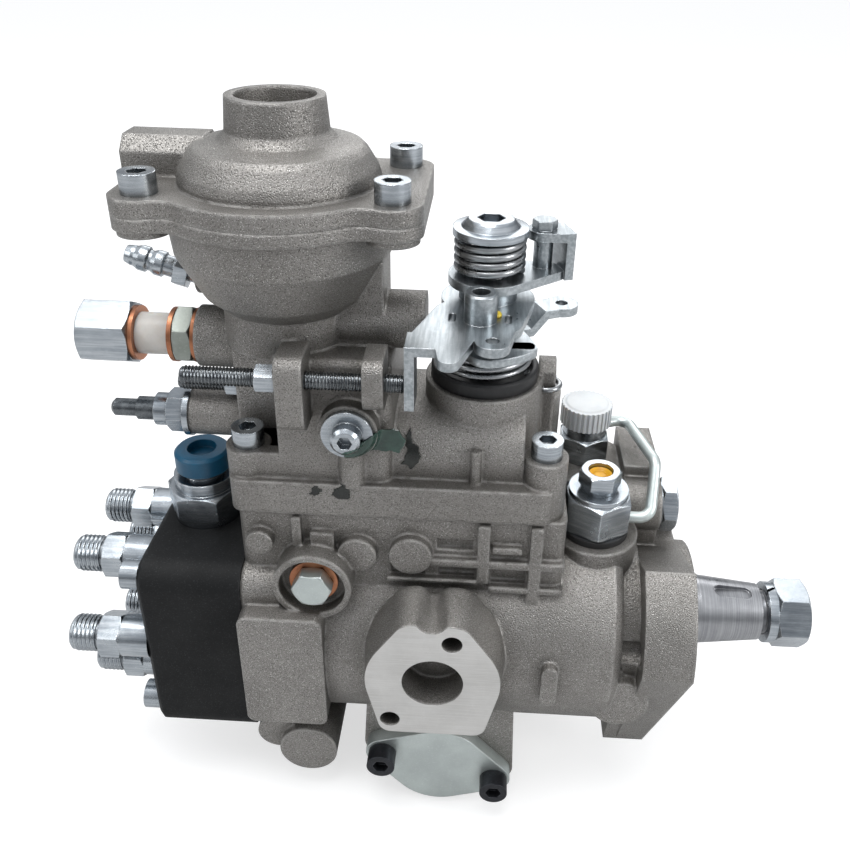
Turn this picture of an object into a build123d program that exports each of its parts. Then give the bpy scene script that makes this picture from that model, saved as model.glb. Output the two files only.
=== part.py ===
from build123d import *
import os
from math import atan2, cos, degrees, pi, radians, sin

# Six-outlet axial distributor injection pump with a boost compensator.
# Millimetres. The origin is the centre of the mounting flange's face on the shaft axis.
# +X points out of the drive end, +Z points up and -Y is the side with the flanged side port.

# Fits and clearances
running_fit = 0.04
slide_fit = 0.06
thread_fit = 0.05
moving_gap = 0.3

# Mounting flange and pilot
pilot_radius = 25.0
pilot_length = 4.0
flange_radius = 42.0
flange_thickness = 17.0
flange_foot_bottom = -49.2
flange_foot_half_width = 20.0
flange_foot_thickness = 22.0
flange_near_corner = 35.0
flange_crown_side = -22.0
flange_crown_lean = 2.0
flange_valley = 23.5
flange_lug_radius = 7.5
mount_circle_radius = 34.0
mount_hole_radius = 4.5
mount_hole_angles = (46.0, 166.0, 286.0)
flange_slope_top = 5.5
flange_slope_depth = 7.2

# Drive shaft, nut and spring washer
shaft_radius = 12.5
taper_start = 9.0
taper_length = 22.5
taper_small_radius = 10.25
shaft_thread_radius = 8.0
shaft_thread_end = 50.0
key_slot_width = 5.0
key_slot_length = 14.0
key_slot_depth = 2.4
spring_washer_radius = 11.1
spring_washer_thickness = 3.2
drive_nut_across = 22.0
drive_nut_length = 11.5
seal_radius = 17.5
seal_length = 7.0
shaft_flange_thickness = 3.0
claw_overlap = 14.0

# Main casting
housing_rear = -151.0
barrel_radius = 40.0
barrel_bore_radius = 28.2
front_wall_back = -50.0
front_wall_front = -44.9
cover_joint = 58.0
upper_half_width = 28.0
cavity_half_width = 22.5
cavity_rear = -143.0
rear_flange_thickness = 13.0
cover_screw_boss = 5.0
neck_radius = 33.0
neck_start = -23.5

# Vane supply pump
pump_front = -27.0
pump_ring_thickness = 16.0
pump_ring_bore = 22.5
pump_eccentricity = 2.0
vane_rotor_radius = 19.8
vane_count = 4
vane_thickness = 2.4
port_plate_thickness = 5.0

# Governor drive gears
gear_module = 1.5
drive_gear_teeth = 35
governor_gear_teeth = 24
gear_width = 6.0
gear_front = -58.5
governor_height = gear_module * (drive_gear_teeth + governor_gear_teeth) / 2

# Governor
governor_shaft_radius = 4.0
governor_shaft_end = -106.0
governor_shaft_seat = 4.0
cage_radius = 20.0
cage_length = 13.0
flyweight_count = 4
flyweight_width = 13.0
sleeve_radius = 7.0
sleeve_travel = 3.4

# Roller ring, cam plate and plunger
timer_x = -84.0
roller_ring_radius = 28.0
roller_ring_bore = 14.5
roller_ring_width = 12.0
roller_radius = 4.5
roller_length = 9.0
roller_circle = 20.5
outlet_count = 6
cam_radius = 26.0
cam_thickness = 7.0
cam_lift = 2.2
plunger_radius = 5.0
plunger_end = -172.0
claw_radius = 13.0
claw_width = 9.4

# Plunger springs and control collar
spring_offset = 17.0
plunger_spring_radius = 5.0
plunger_spring_wire = 1.6
plunger_spring_turns = 6
bridge_thickness = 3.0
collar_radius = 11.5
collar_width = 10.0

# Levers inside the governor housing
pivot_x = -126.4
pivot_height = 34.0
lever_axis_height = 22.0
lever_pin_radius = 2.5
lever_half_width = 13.0
lever_plate = 2.5
frame_half_width = 18.0
frame_back = -137.5
frame_plate = 2.0
ball_radius = 2.4
ball_height = 9.5

# Timer
timer_height = -46.0
timer_bore_radius = 13.0
timer_wall_radius = 20.5
timer_half_length = 34.0
timer_plate_thickness = 5.0
timer_screw_spacing = 42.0
timer_screw_tilt = -15.0
timer_piston_near = -24.0
timer_piston_far = 18.0
timer_pin_radius = 3.5
timer_travel = 7.0
timer_spring_radius = 8.5
timer_spring_wire = 2.2
timer_spring_turns = 4

# Heart shaped side port
port_x = -86.0
port_height = 8.0
port_face = -50.0
port_radius = 22.0
port_bore_radius = 10.0
port_bore_depth = 12.0
port_hole_radius = 3.3
port_hole_depth = 10.0
port_hole_centre_x = -90.0
port_hole_offset_x = 10.0
port_hole_offset_z = 17.5
port_slab_depth = 16.0
port_slab_taper = 8.0

# Screws
m6_shank_radius = 3.0
m6_head_radius = 5.0
m6_head_height = 6.0
m6_socket_across = 5.0
m6_socket_depth = 3.0
m6_short_shank = 15.0
m6_boost_shank = 10.0
m6_cover_shank = 32.0
m6_head_shank = 46.0
clear_hole = 0.3

# Distributor head
head_length = 35.0
head_half = 35.5
head_top = 35.5
head_bottom = -38.5
head_corner = 9.0
head_spigot_length = 10.0
head_screw_offset = 28.5
head_barrel_radius = 11.0
outlet_circle = 28.0
outlet_thread_radius = 6.0
outlet_thread_length = 10.7
outlet_hex_across = 14.5
outlet_hex_length = 7.6
outlet_body_radius = 7.4
outlet_body_length = 10.0
outlet_seat_depth = 14.0
outlet_seat_radius = 5.5
outlet_bore_radius = 1.6
head_plug_across = 19.0
head_plug_length = 8.0
head_plug_tip_radius = 4.5
head_plug_tip_length = 7.0

# Stop solenoid
solenoid_x = -170.5
solenoid_radius = 10.5
solenoid_hex_across = 24.0
solenoid_hex_length = 10.0
solenoid_neck_radius = 9.0
solenoid_neck_length = 7.0
solenoid_cap_radius = 9.4
solenoid_cap_height = 7.0
solenoid_depth = 17.0
stop_plunger_radius = 3.5
stop_plunger_length = 17.0
stop_travel = 1.5

# Governor cover
cover_left = -153.0
cover_right = -49.2
cover_half_width = 29.5
cover_flange_height = 12.0
cover_screw_left = -147.0
cover_screw_right = -53.0
cover_screw_y = 21.0
cover_boss_radius = 7.0
cover_screw_seat = 79.0
tower_radius = 19.0
tower_top = 96.0
block_left = -152.0
block_right = -101.0
block_near = -27.0
block_far = 23.0
block_top = 112.0
roof_right = -60.0
roof_top = 89.0
roof_half_width = 24.0

# Boost compensator
boost_x = -134.6
boost_y = -4.7
boost_radius = 35.3
boost_screw_x = 34.4
boost_screw_y = 18.9
boost_lug_radius = 8.5
boost_joint = 154.5
boost_flange = 5.0
bowl_flange = 4.0
bowl_boss_depth = 6.0
bowl_boss_radius = 7.5
bowl_neck_radius = 20.0
bowl_neck_height = 122.0
dome_base_radius = 29.0
dome_shoulder_radius = 25.5
dome_shoulder_height = 8.5
dome_cup_radius = 14.0
dome_cup_height = 28.5
dome_cup_bore = 11.5
dome_wall = 4.0
boost_inlet_half = 8.5
boost_inlet_left = -179.5
boost_inlet_height = 162.0
boost_inlet_bore = 5.0
diaphragm_thickness = 1.0
diaphragm_plate_radius = 21.0
boost_pin_radius = 4.0
boost_travel = 6.0
boost_spring_radius = 14.0
boost_spring_wire = 2.2
boost_spring_turns = 4

# Stop screws beside the cover
stop_rod_radius = 2.5
stop_rod_y = -33.0
stop_rod_z = 109.0
stop_rod_left = -161.0
stop_rod_right = -96.3
stop_nut_across = 8.0
stop_nut_length = 6.0
first_lug_x = (-133.0, -125.0)
second_lug_x = (-108.0, -102.0)
lug_near = -38.0
rear_rod_y = -2.0
rear_rod_z = 89.5
rear_rod_left = -174.0
rear_rod_right = -144.0

# Seal screw on the near face of the cover
seal_screw_x = -113.5
seal_screw_z = 91.0
seal_ring_radius = 7.8
seal_head_radius = 4.5

# Full load screw
full_load_z = 77.0
full_load_tip = -199.0
full_load_boss = -171.0
full_load_radius = 4.0
full_load_nut_across = 13.0
full_load_nut_length = 6.0

# Fuel return union
return_z = 105.5
return_boss = -165.0
return_boss_radius = 10.0
return_hex_across = 17.0
return_hex_length = 6.0
return_spacer_radius = 6.8
return_spacer_length = 11.0
return_cap_across = 19.0
return_cap_length = 16.5
return_bolt_radius = 5.0
copper_thickness = 1.5

# Vent barb
barb_y = 10.0
barb_base = (-170.0, 123.0)
barb_tilt = 16.0
barb_length = 21.0

# Inlet union, near side of the front top
inlet_x = -33.0
inlet_y = -6.0
inlet_seat = 40.0
inlet_boss_radius = 15.0
inlet_ring_radius = 11.6
inlet_ring_height = 2.4
inlet_hex_across = 21.0
inlet_hex_height = 13.0
inlet_collar_radius = 10.1
inlet_collar_height = 2.0
inlet_top_across = 12.5
inlet_top_height = 7.0
inlet_bore_radius = 4.2
inlet_thread_radius = 8.0
inlet_thread_depth = 9.0

# Overflow union, far side of the front top
overflow_x = -35.0
overflow_y = 30.0
overflow_seat = 47.0
overflow_hex_across = 17.0
overflow_hex_height = 10.0
overflow_neck_radius = 8.0
overflow_neck_height = 4.6
overflow_cap_radius = 9.4
overflow_cap_height = 7.9
overflow_thread_radius = 6.0

# Overflow tube and regulating valve
tube_radius = 2.0
tube_drop = 2.2
tube_bend = 4.5
valve_x = -8.6
valve_y = 10.0
valve_z = 40.0
valve_boss_radius = 9.5
valve_across = 17.0
valve_head_length = 5.4
valve_thread_radius = 6.0
valve_thread_length = 9.0
valve_block_left = -21.5
valve_block_near = 14.0
valve_block_top = 53.0

# Throttle shaft, return spring and lower lever
lever_x = -73.5
throttle_shaft_radius = 6.0
throttle_shaft_foot = 72.5
throttle_seat_radius = 17.3
throttle_seat_height = 4.6
throttle_seat_lip = 2.2
throttle_spring_radius = 15.0
throttle_spring_wire = 2.0
throttle_spring_turns = 3
hook_plate_z = tower_top + 13.0
lever_thickness = 2.8
hook_lobe_x = 24.0
hook_lobe_y = 11.5
hook_lobe_radius = 5.4
hook_lobe_lift = 5.2
hook_hole_radius = 2.0
hub_radius = 9.0
crank_radius = 9.0
crank_pin_radius = 2.0
crank_pin_foot = 60.0

# Stop plate with the tab that meets the near stop screw, and its hollow post
stop_plate_z = hook_plate_z + 11.4
stop_plate_hub = 14.5
throttle_tab_x = -96.0
throttle_tab_z = 103.0
throttle_tab_width = 10.0
post_x = -2.0
post_y = -17.9
post_radius = 4.9
post_bore = 2.7
post_height = 9.0

# Break-over lever with its clevis, its spring and the nut on top
breakover_plate_z = stop_plate_z + 7.8
breakover_radius = 12.5
clevis_x = 23.0
clevis_y = 8.5
clevis_height = 15.0
clevis_pin_x = 16.5
clevis_pin_y = 7.8
clevis_pin_radius = 3.0
clevis_head_radius = 3.8
clevis_head_height = 3.0
breakover_spring_radius = 11.0
breakover_spring_wire = 2.3
breakover_spring_turns = 4
breakover_spring_length = 12.4
top_nut_flange = 11.5
top_nut_cone = 8.9
top_nut_top_radius = 7.4
top_nut_height = 4.9
top_nut_thread = 1.2
top_nut_socket = 7.5


# Round bosses (x, z, radius) and ribs (x0, x1, z0, z1) on the near wall of the casting
near_bosses = ((-143.9, 47.0, 4.4), (-112.2, 43.8, 6.3), (-94.8, 44.3, 6.9))
near_ribs = ((-88.2, -44.9, 40.3, 43.0), (-102.5, -72.9, 33.2, 34.7), (-69.2, -44.9, 30.4, 32.4),
             (-73.2, -69.4, 34.0, 57.0), (-56.4, -52.5, 24.0, 57.0), (-133.0, -130.2, 46.0, 57.0),
             (-68.3, -59.0, 46.6, 48.8), (-127.2, -119.6, 42.0, 51.5))
near_windows = ((-101.5, -90.2, 34.8, 38.8), (-86.0, -73.4, 34.8, 39.6), (-68.9, -57.0, 32.6, 39.4),
                (-86.4, -74.6, 45.5, 49.8))
near_boss_height = 3.5
near_rib_height = 2.6
near_window_depth = 1.8

# Inside of the governor cover and of the compensator's bowl
cover_wall = 5.5
cover_ceiling = 79.0
cover_deck = 4.0
bowl_depth_z = bowl_neck_height + 6.0
bowl_inner_radius = 29.0
spring_floor_z = bowl_neck_height - 2.0
screw_pocket_top = 104.0
screw_pocket_reach = 6.5
near_pocket_right = -136.0
near_pocket_side = -12.5
well_half_width = 9.5

# Bosses on the cover
boss_right_x = -92.0
hook_post_x = -53.0
hook_post_y = 3.0
hook_post_width = 5.6
hook_post_top = 100.5
hook_post_slope = 3.5

# Pivot screws of the lever frame
pivot_thread_radius = 4.0
pivot_pin_radius = 2.5
pivot_seat = 32.0
pivot_head_across = 11.5
pivot_ring_radius = 12.9


# Basic shapes placed by their ends

def rod_x(radius, x0, x1, y=0.0, z=0.0):
    return Pos(x0, y, z) * Rot(0, 90, 0) * Cylinder(radius, x1 - x0, align=(Align.CENTER, Align.CENTER, Align.MIN))


def rod_y(radius, y0, y1, x=0.0, z=0.0):
    return Pos(x, y0, z) * Rot(-90, 0, 0) * Cylinder(radius, y1 - y0, align=(Align.CENTER, Align.CENTER, Align.MIN))


def rod_z(radius, z0, z1, x=0.0, y=0.0):
    return Pos(x, y, z0) * Cylinder(radius, z1 - z0, align=(Align.CENTER, Align.CENTER, Align.MIN))


def block(x0, x1, y0, y1, z0, z1):
    return Pos((x0 + x1) / 2, (y0 + y1) / 2, (z0 + z1) / 2) * Box(x1 - x0, y1 - y0, z1 - z0)


def hex_x(across, x0, x1, y=0.0, z=0.0, turn=0.0):
    sides = extrude(Rot(0, 0, turn) * RegularPolygon(across / 2, 6, major_radius=False), x1 - x0)
    return Pos(x0, y, z) * Rot(0, 90, 0) * sides


def hex_z(across, z0, z1, x=0.0, y=0.0, turn=0.0):
    return Pos(x, y, z0) * extrude(Rot(0, 0, turn) * RegularPolygon(across / 2, 6, major_radius=False), z1 - z0)


def hex_y(across, y0, y1, x=0.0, z=0.0, turn=0.0):
    sides = extrude(Rot(0, 0, turn) * RegularPolygon(across / 2, 6, major_radius=False), y1 - y0)
    return Pos(x, y0, z) * Rot(-90, 0, 0) * sides


def crowned_hex(across, length):
    """Hexagon along +Z with both ends turned to a 30 degree chamfer."""
    sides = hex_z(across, 0, length)
    corner = across / 3 ** 0.5
    drop = (corner - across / 2) * 0.577
    turned = Polyline((0, 0), (across / 2, 0), (corner, drop), (corner, length - drop),
                      (across / 2, length), (0, length), close=True)
    crown = revolve(Plane.XZ * make_face(turned), Axis.Z)
    return sides & crown


def turned_z(points):
    """Solid of revolution about Z from (radius, height) points."""
    return revolve(Plane.XZ * make_face(Polyline(*points, close=True)), Axis.Z)


def along_x(shape, x=0.0, y=0.0, z=0.0):
    return Pos(x, y, z) * Rot(0, 90, 0) * shape


def socket_screw(shank_length, head_radius=m6_head_radius, head_height=m6_head_height,
                 shank_radius=m6_shank_radius, across=m6_socket_across, depth=m6_socket_depth):
    """Cap screw with its head's seat at Z = 0 and its shank down."""
    screw = rod_z(head_radius, 0, head_height) + rod_z(shank_radius, -shank_length, 0)
    return screw - hex_z(across, head_height - depth, head_height)


def coil(radius, wire, length, turns):
    """Closed helical spring along +Z from Z = 0, its outside at radius."""
    pitch = (length - wire) / turns
    path = Pos(0, 0, wire / 2) * Helix(pitch, length - wire, radius - wire / 2)
    section = Plane(origin=path @ 0, z_dir=path % 0) * Circle(wire / 2)
    return sweep(section, path)


def spur_gear(teeth, width, bore):
    """Spur gear along +X from X = 0, its flanks drawn as straight tapers."""
    pitch_radius = gear_module * teeth / 2
    tip = pitch_radius + gear_module * 0.85
    root = pitch_radius - gear_module * 1.15
    half_root = gear_module * 0.95
    half_tip = gear_module * 0.34
    tooth = make_face(Polyline((root - 0.4, -half_root), (tip, -half_tip), (tip, half_tip),
                               (root - 0.4, half_root), close=True))
    outline = Circle(root) + [Rot(0, 0, 360 * i / teeth) * tooth for i in range(teeth)] - Circle(bore)
    return extrude(Plane.YZ * outline, width)


def outlet_places():
    """(Y, Z) of each outlet on its circle, the first one step past the vertical."""
    step = 2 * pi / outlet_count
    return [(-outlet_circle * sin(-step / 2 + step * i), outlet_circle * cos(-step / 2 + step * i))
            for i in range(outlet_count)]


def heart_outline(grow=0.0):
    """Side port outline in X and Z: a disc with two lobes on top and two at the foot."""
    discs = Circle(port_radius + grow)
    upper = [Pos(dx, 18.0) * Circle(6.5 + grow) for dx in (-6.5, 6.5)]
    lower = [Pos(dx, -19.0) * Circle(4.5 + grow) for dx in (-13.5, 13.5)]
    body = make_hull((discs + upper + lower).edges())
    notch = Pos(-0.5, 26.5 + grow) * Circle(5.0)
    foot = Pos(timer_x - port_x, timer_height - port_height) * Circle(timer_wall_radius + 2.5)
    body = body - notch - foot
    return fillet(body.vertices(), 2.0)


def timer_plate_outline(grow=0.0):
    """End plate of the timer: a disc hulled with its two screw lugs."""
    tilt = radians(timer_screw_tilt)
    half = timer_screw_spacing / 2
    lugs = [Pos(side * half * cos(tilt), side * half * sin(tilt)) * Circle(6.0 + grow) for side in (-1, 1)]
    disc = Circle(timer_bore_radius + 4.5 + grow)
    return make_hull((disc + lugs).edges())


def timer_screw_places():
    tilt = radians(timer_screw_tilt)
    half = timer_screw_spacing / 2
    return [(timer_x + side * half * cos(tilt), timer_height + side * half * sin(tilt)) for side in (-1, 1)]


def cover_screw_places():
    return [(x, y) for x in (cover_screw_left, cover_screw_right) for y in (-cover_screw_y, cover_screw_y)]


def head_screw_places():
    return [(y, z) for y in (-head_screw_offset, head_screw_offset) for z in (-head_screw_offset, head_screw_offset)]


def boost_screw_places():
    return [(boost_x + sx * boost_screw_x, boost_y + sy * boost_screw_y) for sx in (-1, 1) for sy in (-1, 1)]


# Main casting

def flange_slope_run():
    """Vertical run of the sloped front, from its top to the foot."""
    return flange_slope_top - flange_foot_bottom


def flange_outline():
    """Mounting flange seen along the shaft: disc with a foot below, and a valley cut into its top."""
    rim = -(flange_radius ** 2 - flange_slope_top ** 2) ** 0.5
    foot = make_face(Polyline((rim, flange_slope_top), (-flange_foot_half_width, flange_foot_bottom),
                              (flange_foot_half_width, flange_foot_bottom), (-rim, -flange_slope_top),
                              (0, flange_slope_top), close=True))
    outside = make_face(Polyline((rim, flange_slope_top), (-flange_foot_half_width, flange_foot_bottom),
                                 (rim - flange_radius, flange_foot_bottom), (rim - flange_radius, flange_slope_top),
                                 close=True))
    crown = make_face(Polyline((flange_crown_side - flange_crown_lean, flange_radius + 1),
                               (flange_crown_side, flange_near_corner), (0, flange_valley + 3.5), (9, flange_valley),
                               (flange_radius + 1, flange_valley), (flange_radius + 1, flange_radius + 1),
                               close=True))
    angle = radians(mount_hole_angles[0])
    lug = Pos(mount_circle_radius * cos(angle), mount_circle_radius * sin(angle)) * Circle(flange_lug_radius)
    return Circle(flange_radius) + foot - outside - crown + lug


def flange_blank():
    """Mounting flange with its front face sloped back towards the foot."""
    disc = extrude(Plane.YZ * flange_outline(), -flange_thickness)
    foot_sketch = make_face(Polyline((-flange_foot_half_width, flange_foot_bottom),
                                     (flange_foot_half_width, flange_foot_bottom),
                                     (flange_foot_half_width - 4, -barrel_bore_radius),
                                     (-flange_foot_half_width - 7, -barrel_bore_radius), close=True))
    foot = extrude(Plane.YZ * foot_sketch, -flange_foot_thickness)
    lean = flange_slope_depth / flange_slope_run()
    depth = flange_slope_run() + 4
    wedge = make_face(Polyline((0.01, flange_slope_top), (0.01, flange_slope_top - depth),
                               (-depth * lean, flange_slope_top - depth), close=True))
    slope = extrude(Plane.XZ * wedge, flange_radius + 2, both=True)
    ring = rod_x(pilot_radius + 3, -flange_slope_depth, 0)
    return disc + foot - (slope - ring)


def housing_outside():
    front = -flange_thickness
    barrel = along_x(turned_z([(0, housing_rear), (barrel_radius, housing_rear), (barrel_radius, neck_start - 3),
                               (barrel_radius - 3, neck_start), (neck_radius, neck_start), (neck_radius, front),
                               (0, front)]))
    upper = block(housing_rear, front_wall_front, -upper_half_width, upper_half_width, 0, cover_joint)
    upper = fillet(upper.edges().filter_by(Axis.Z), 3.0)
    body = barrel + upper + flange_blank()
    rear = RectangleRounded(2 * head_half - 1, 2 * head_half - 1, head_corner)
    body += Pos(housing_rear, 0, 0) * extrude(Plane.YZ * rear, rear_flange_thickness)
    body += rod_x(pilot_radius, -1, pilot_length)
    body += rod_z(inlet_boss_radius, 0, inlet_seat, inlet_x, inlet_y)
    deck = Pos(overflow_x, overflow_y - 6, 12) * extrude(RectangleRounded(29, 34, 8), overflow_seat - 12)
    body += deck
    body += block(valve_block_left, valve_x, valve_block_near, overflow_y + 11, 12, valve_block_top)
    body += rod_x(valve_boss_radius, valve_block_left, valve_x, valve_y, valve_z)
    body += block(valve_block_left, valve_x, valve_y - 6, valve_block_near + 1, 20, valve_z)
    return body


def housing_near_features():
    """Bosses, pads and ribs cast on the near side."""
    wall_y = -upper_half_width + 1
    parts = [rod_y(pivot_ring_radius, -37.0, wall_y, pivot_x, pivot_height)]
    for x, z, radius in near_bosses:
        parts.append(rod_y(radius, -upper_half_width - near_boss_height, wall_y, x, z))
    for x0, x1, z0, z1 in near_ribs:
        parts.append(block(x0, x1, -upper_half_width - near_rib_height, wall_y, z0, z1))
    pad = Pos(-137.0, 0) * RectangleRounded(28, 48, 3)
    parts.append(extrude(Plane.XZ.offset(30) * pad, 12.0))
    parts.append(rod_y(10.5, -36.0, 30.0, -132.0, -45.0))
    parts.append(rod_y(7.5, -33.0, 30.0, -143.5, -40.0))
    stub = Pos(-47.5, 0.5) * SlotOverall(17, 5.5, rotation=90)
    parts.append(extrude(Plane.XZ.offset(34) * stub, 8.5))
    parts.append(rod_y(10.0, -37.0, -20.0, -22.0, -11.5))
    parts.append(block(-45.0, -22.0, -34.5, -20.0, -18.0, 2.0))
    return parts


def timer_body():
    tilt = radians(timer_screw_tilt)
    half = timer_screw_spacing / 2
    lugs = [Pos(side * half * cos(tilt), side * half * sin(tilt)) * Circle(7.0) for side in (-1, 1)]
    crown = [Pos(side * 22.0, 28.0) * Circle(4.0) for side in (-1, 1)]
    outline = make_hull((Circle(timer_wall_radius) + lugs + crown).edges())
    return extrude(Plane.XZ * (Pos(timer_x, timer_height) * outline), timer_half_length, both=True)


def make_housing():
    body = housing_outside()
    for x0, x1, z0, z1 in near_windows:
        body -= block(x0, x1, -upper_half_width - 1, -upper_half_width + near_window_depth, z0, z1)
    for feature in housing_near_features():
        body += feature
    body += timer_body()
    port_place = Plane.XZ.offset(-port_face) * Pos(port_x, port_height)
    body += extrude(port_place * heart_outline(), -port_slab_depth, taper=-port_slab_taper)

    # Bores along the shaft axis
    body -= rod_x(barrel_bore_radius, housing_rear - 1, pump_front)
    body -= rod_x(shaft_radius + running_fit, pump_front - 1, pilot_length + 1)
    body -= rod_x(seal_radius, pilot_length - seal_length, pilot_length + 1)
    body -= block(cavity_rear, front_wall_back, -cavity_half_width, cavity_half_width, 0, cover_joint + 1)
    body -= rod_x(governor_shaft_radius + slide_fit, front_wall_back - 1, front_wall_back + governor_shaft_seat,
                  0, governor_height)
    for x, y in cover_screw_places():
        boss = rod_z(cover_screw_boss, 0, cover_joint, x, y)
        boss &= block(housing_rear, front_wall_front, -upper_half_width, upper_half_width, 0, cover_joint)
        body += boss - rod_x(barrel_bore_radius, housing_rear - 1, pump_front)

    # Timer bore, the slot for its pin and the screw holes of its end plates
    body -= rod_y(timer_bore_radius, -timer_half_length - 1, timer_half_length + 1, timer_x, timer_height)
    slot_reach = timer_travel + timer_pin_radius + 2
    body -= block(timer_x - timer_pin_radius - 1.5, timer_x + timer_pin_radius + 1.5,
                  -slot_reach, slot_reach, timer_height, -barrel_bore_radius + 5)
    for x, z in timer_screw_places():
        for side in (-1, 1):
            reach = sorted((side * (timer_half_length + 1), side * (timer_half_length - m6_short_shank)))
            body -= rod_y(m6_shank_radius + thread_fit, reach[0], reach[1], x, z)

    # Side port and its two tapped holes
    body -= rod_y(port_bore_radius, port_face - 1, port_face + port_bore_depth, port_x, port_height)
    for side in (-1, 1):
        body -= rod_y(port_hole_radius, port_face - 1, port_face + port_hole_depth,
                      port_hole_centre_x + side * port_hole_offset_x, port_height + side * port_hole_offset_z)

    # Mounting holes, pivot screws, cover, head and union threads
    for angle in mount_hole_angles:
        y = mount_circle_radius * cos(radians(angle))
        z = mount_circle_radius * sin(radians(angle))
        body -= rod_x(mount_hole_radius, -flange_foot_thickness - 1, 1, y, z)
    for side in (-1, 1):
        ends = sorted((side * (pivot_seat + 6), side * pivot_seat))
        body -= rod_y(10.85, ends[0], ends[1], pivot_x, pivot_height)
        ends = sorted((side * (pivot_seat + 1), side * (cavity_half_width - 1)))
        body -= rod_y(pivot_thread_radius + thread_fit, ends[0], ends[1], pivot_x, pivot_height)
    for x, y in cover_screw_places():
        body -= rod_z(m6_shank_radius + thread_fit, cover_screw_seat - m6_cover_shank - 1, cover_joint + 1, x, y)
    for y, z in head_screw_places():
        reach = m6_head_shank - head_length + 1
        body -= rod_x(m6_shank_radius + thread_fit, housing_rear - 1, housing_rear + reach, y, z)
    body -= rod_z(inlet_thread_radius, inlet_seat - inlet_thread_depth, inlet_seat + 1, inlet_x, inlet_y)
    body -= rod_z(overflow_thread_radius, overflow_seat - 10, overflow_seat + 1, overflow_x, overflow_y)
    body -= rod_x(valve_thread_radius, valve_x - valve_thread_length - 1, valve_x + 1, valve_y, valve_z)
    return body


# Governor cover with the lower bowl of the compensator

def boost_outline(grow=0.0):
    """Round flange with a lug at each of the four screws."""
    disc = Circle(boost_radius + grow)
    sides = [make_hull([edge for sy in (-1, 1)
                        for edge in (Pos(sx * boost_screw_x, sy * boost_screw_y)
                                     * Circle(boost_lug_radius + grow)).edges()]) for sx in (-1, 1)]
    outline = disc + sides
    inner = [v for v in outline.vertices() if abs(v.X) < boost_screw_x - 1]
    return fillet(inner, 9.0)


def bowl_outside():
    flange = Pos(boost_x, boost_y, boost_joint - bowl_flange) * extrude(boost_outline(), bowl_flange)
    low = bowl_neck_height - boost_joint
    profile = [(0, low - 12), (bowl_neck_radius, low - 12), (bowl_neck_radius, low),
               (bowl_neck_radius + 5.5, low + 5), (boost_radius - 5.5, low + 13),
               (boost_radius - 3.0, low + 18), (boost_radius - 2.0, -bowl_flange),
               (boost_radius - 2.0, -2), (0, -2)]
    body = flange + Pos(boost_x, boost_y, boost_joint) * turned_z(profile)
    for x, y in boost_screw_places():
        body += rod_z(bowl_boss_radius, boost_joint - bowl_boss_depth, boost_joint - 1, x, y)
    return body


def cover_outside():
    flange_sketch = Pos((cover_left + cover_right) / 2, 0) * RectangleRounded(
        cover_right - cover_left, 2 * cover_half_width, 5)
    body = Pos(0, 0, cover_joint) * extrude(flange_sketch, cover_flange_height)
    for x, y in cover_screw_places():
        body += rod_z(cover_boss_radius, cover_joint, cover_screw_seat, x, y)
    deck = cover_joint + cover_flange_height
    roof = block(block_right - 6, roof_right, -roof_half_width, roof_half_width, deck - 1, roof_top)
    roof = fillet(roof.edges().filter_by(Axis.X).sort_by(Axis.Z)[-2:], 13.0)
    body += roof
    body += along_tower()
    left = block(block_left, block_right, block_near, block_far, deck - 1, block_top)
    left = fillet(left.edges().filter_by(Axis.Z), 4.0)
    left = fillet(left.edges().group_by(Axis.Z)[-1], 3.0)
    return body + left


def along_tower():
    deck = cover_joint + cover_flange_height
    return rod_z(tower_radius, deck - 1, tower_top, lever_x, 0)


def cover_features():
    parts = []
    # Lugs of the near stop screw
    for x0, x1, foot in ((first_lug_x[0], first_lug_x[1], 93.0), (second_lug_x[0], second_lug_x[1], 101.0)):
        lug = block(x0, x1, lug_near, block_near + 3, foot, stop_rod_z + 8)
        lug = fillet(lug.edges().filter_by(Axis.X).sort_by(Axis.Y)[:2], 4.5)
        parts.append(lug)
    # Boss of the seal screw and the rib under it
    parts.append(rod_y(seal_ring_radius + 1.2, -32.0, block_near + 3, seal_screw_x, seal_screw_z))
    parts.append(rod_z(4.5, cover_joint + cover_flange_height - 1, seal_screw_z, seal_screw_x, -25.5))
    parts.append(rod_z(1.8, cover_joint + cover_flange_height - 1, 82.0, -75.0, -24.5))
    # Full load and fuel return bosses on the left end
    parts.append(rod_x(8.0, full_load_boss, block_left + 3, 0, full_load_z))
    parts.append(rod_x(return_boss_radius, return_boss, block_left + 3, 0, return_z))
    # Cross shaft boss and lug right of the bowl
    parts.append(rod_x(9.0, -120.0, boss_right_x, -8.0, 118.0))
    parts.append(block(-118.0, -104.0, -16.0, 2.0, block_top - 2, 140.0))
    # Post for the hook of the return spring
    half = hook_post_width / 2
    post = block(hook_post_x - half, hook_post_x + half, hook_post_y - half, hook_post_y + half,
                 cover_joint + cover_flange_height - 1, hook_post_top)
    near_edge = post.edges().group_by(Axis.Z)[-1].sort_by(Axis.Y)[0]
    parts.append(chamfer(near_edge, hook_post_slope, hook_post_width / 2))
    # Boss of the vent barb
    parts.append(rod_x(6.5, barb_base[0] + 3, boost_x - 15, barb_y, barb_base[1]))
    return parts


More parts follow.
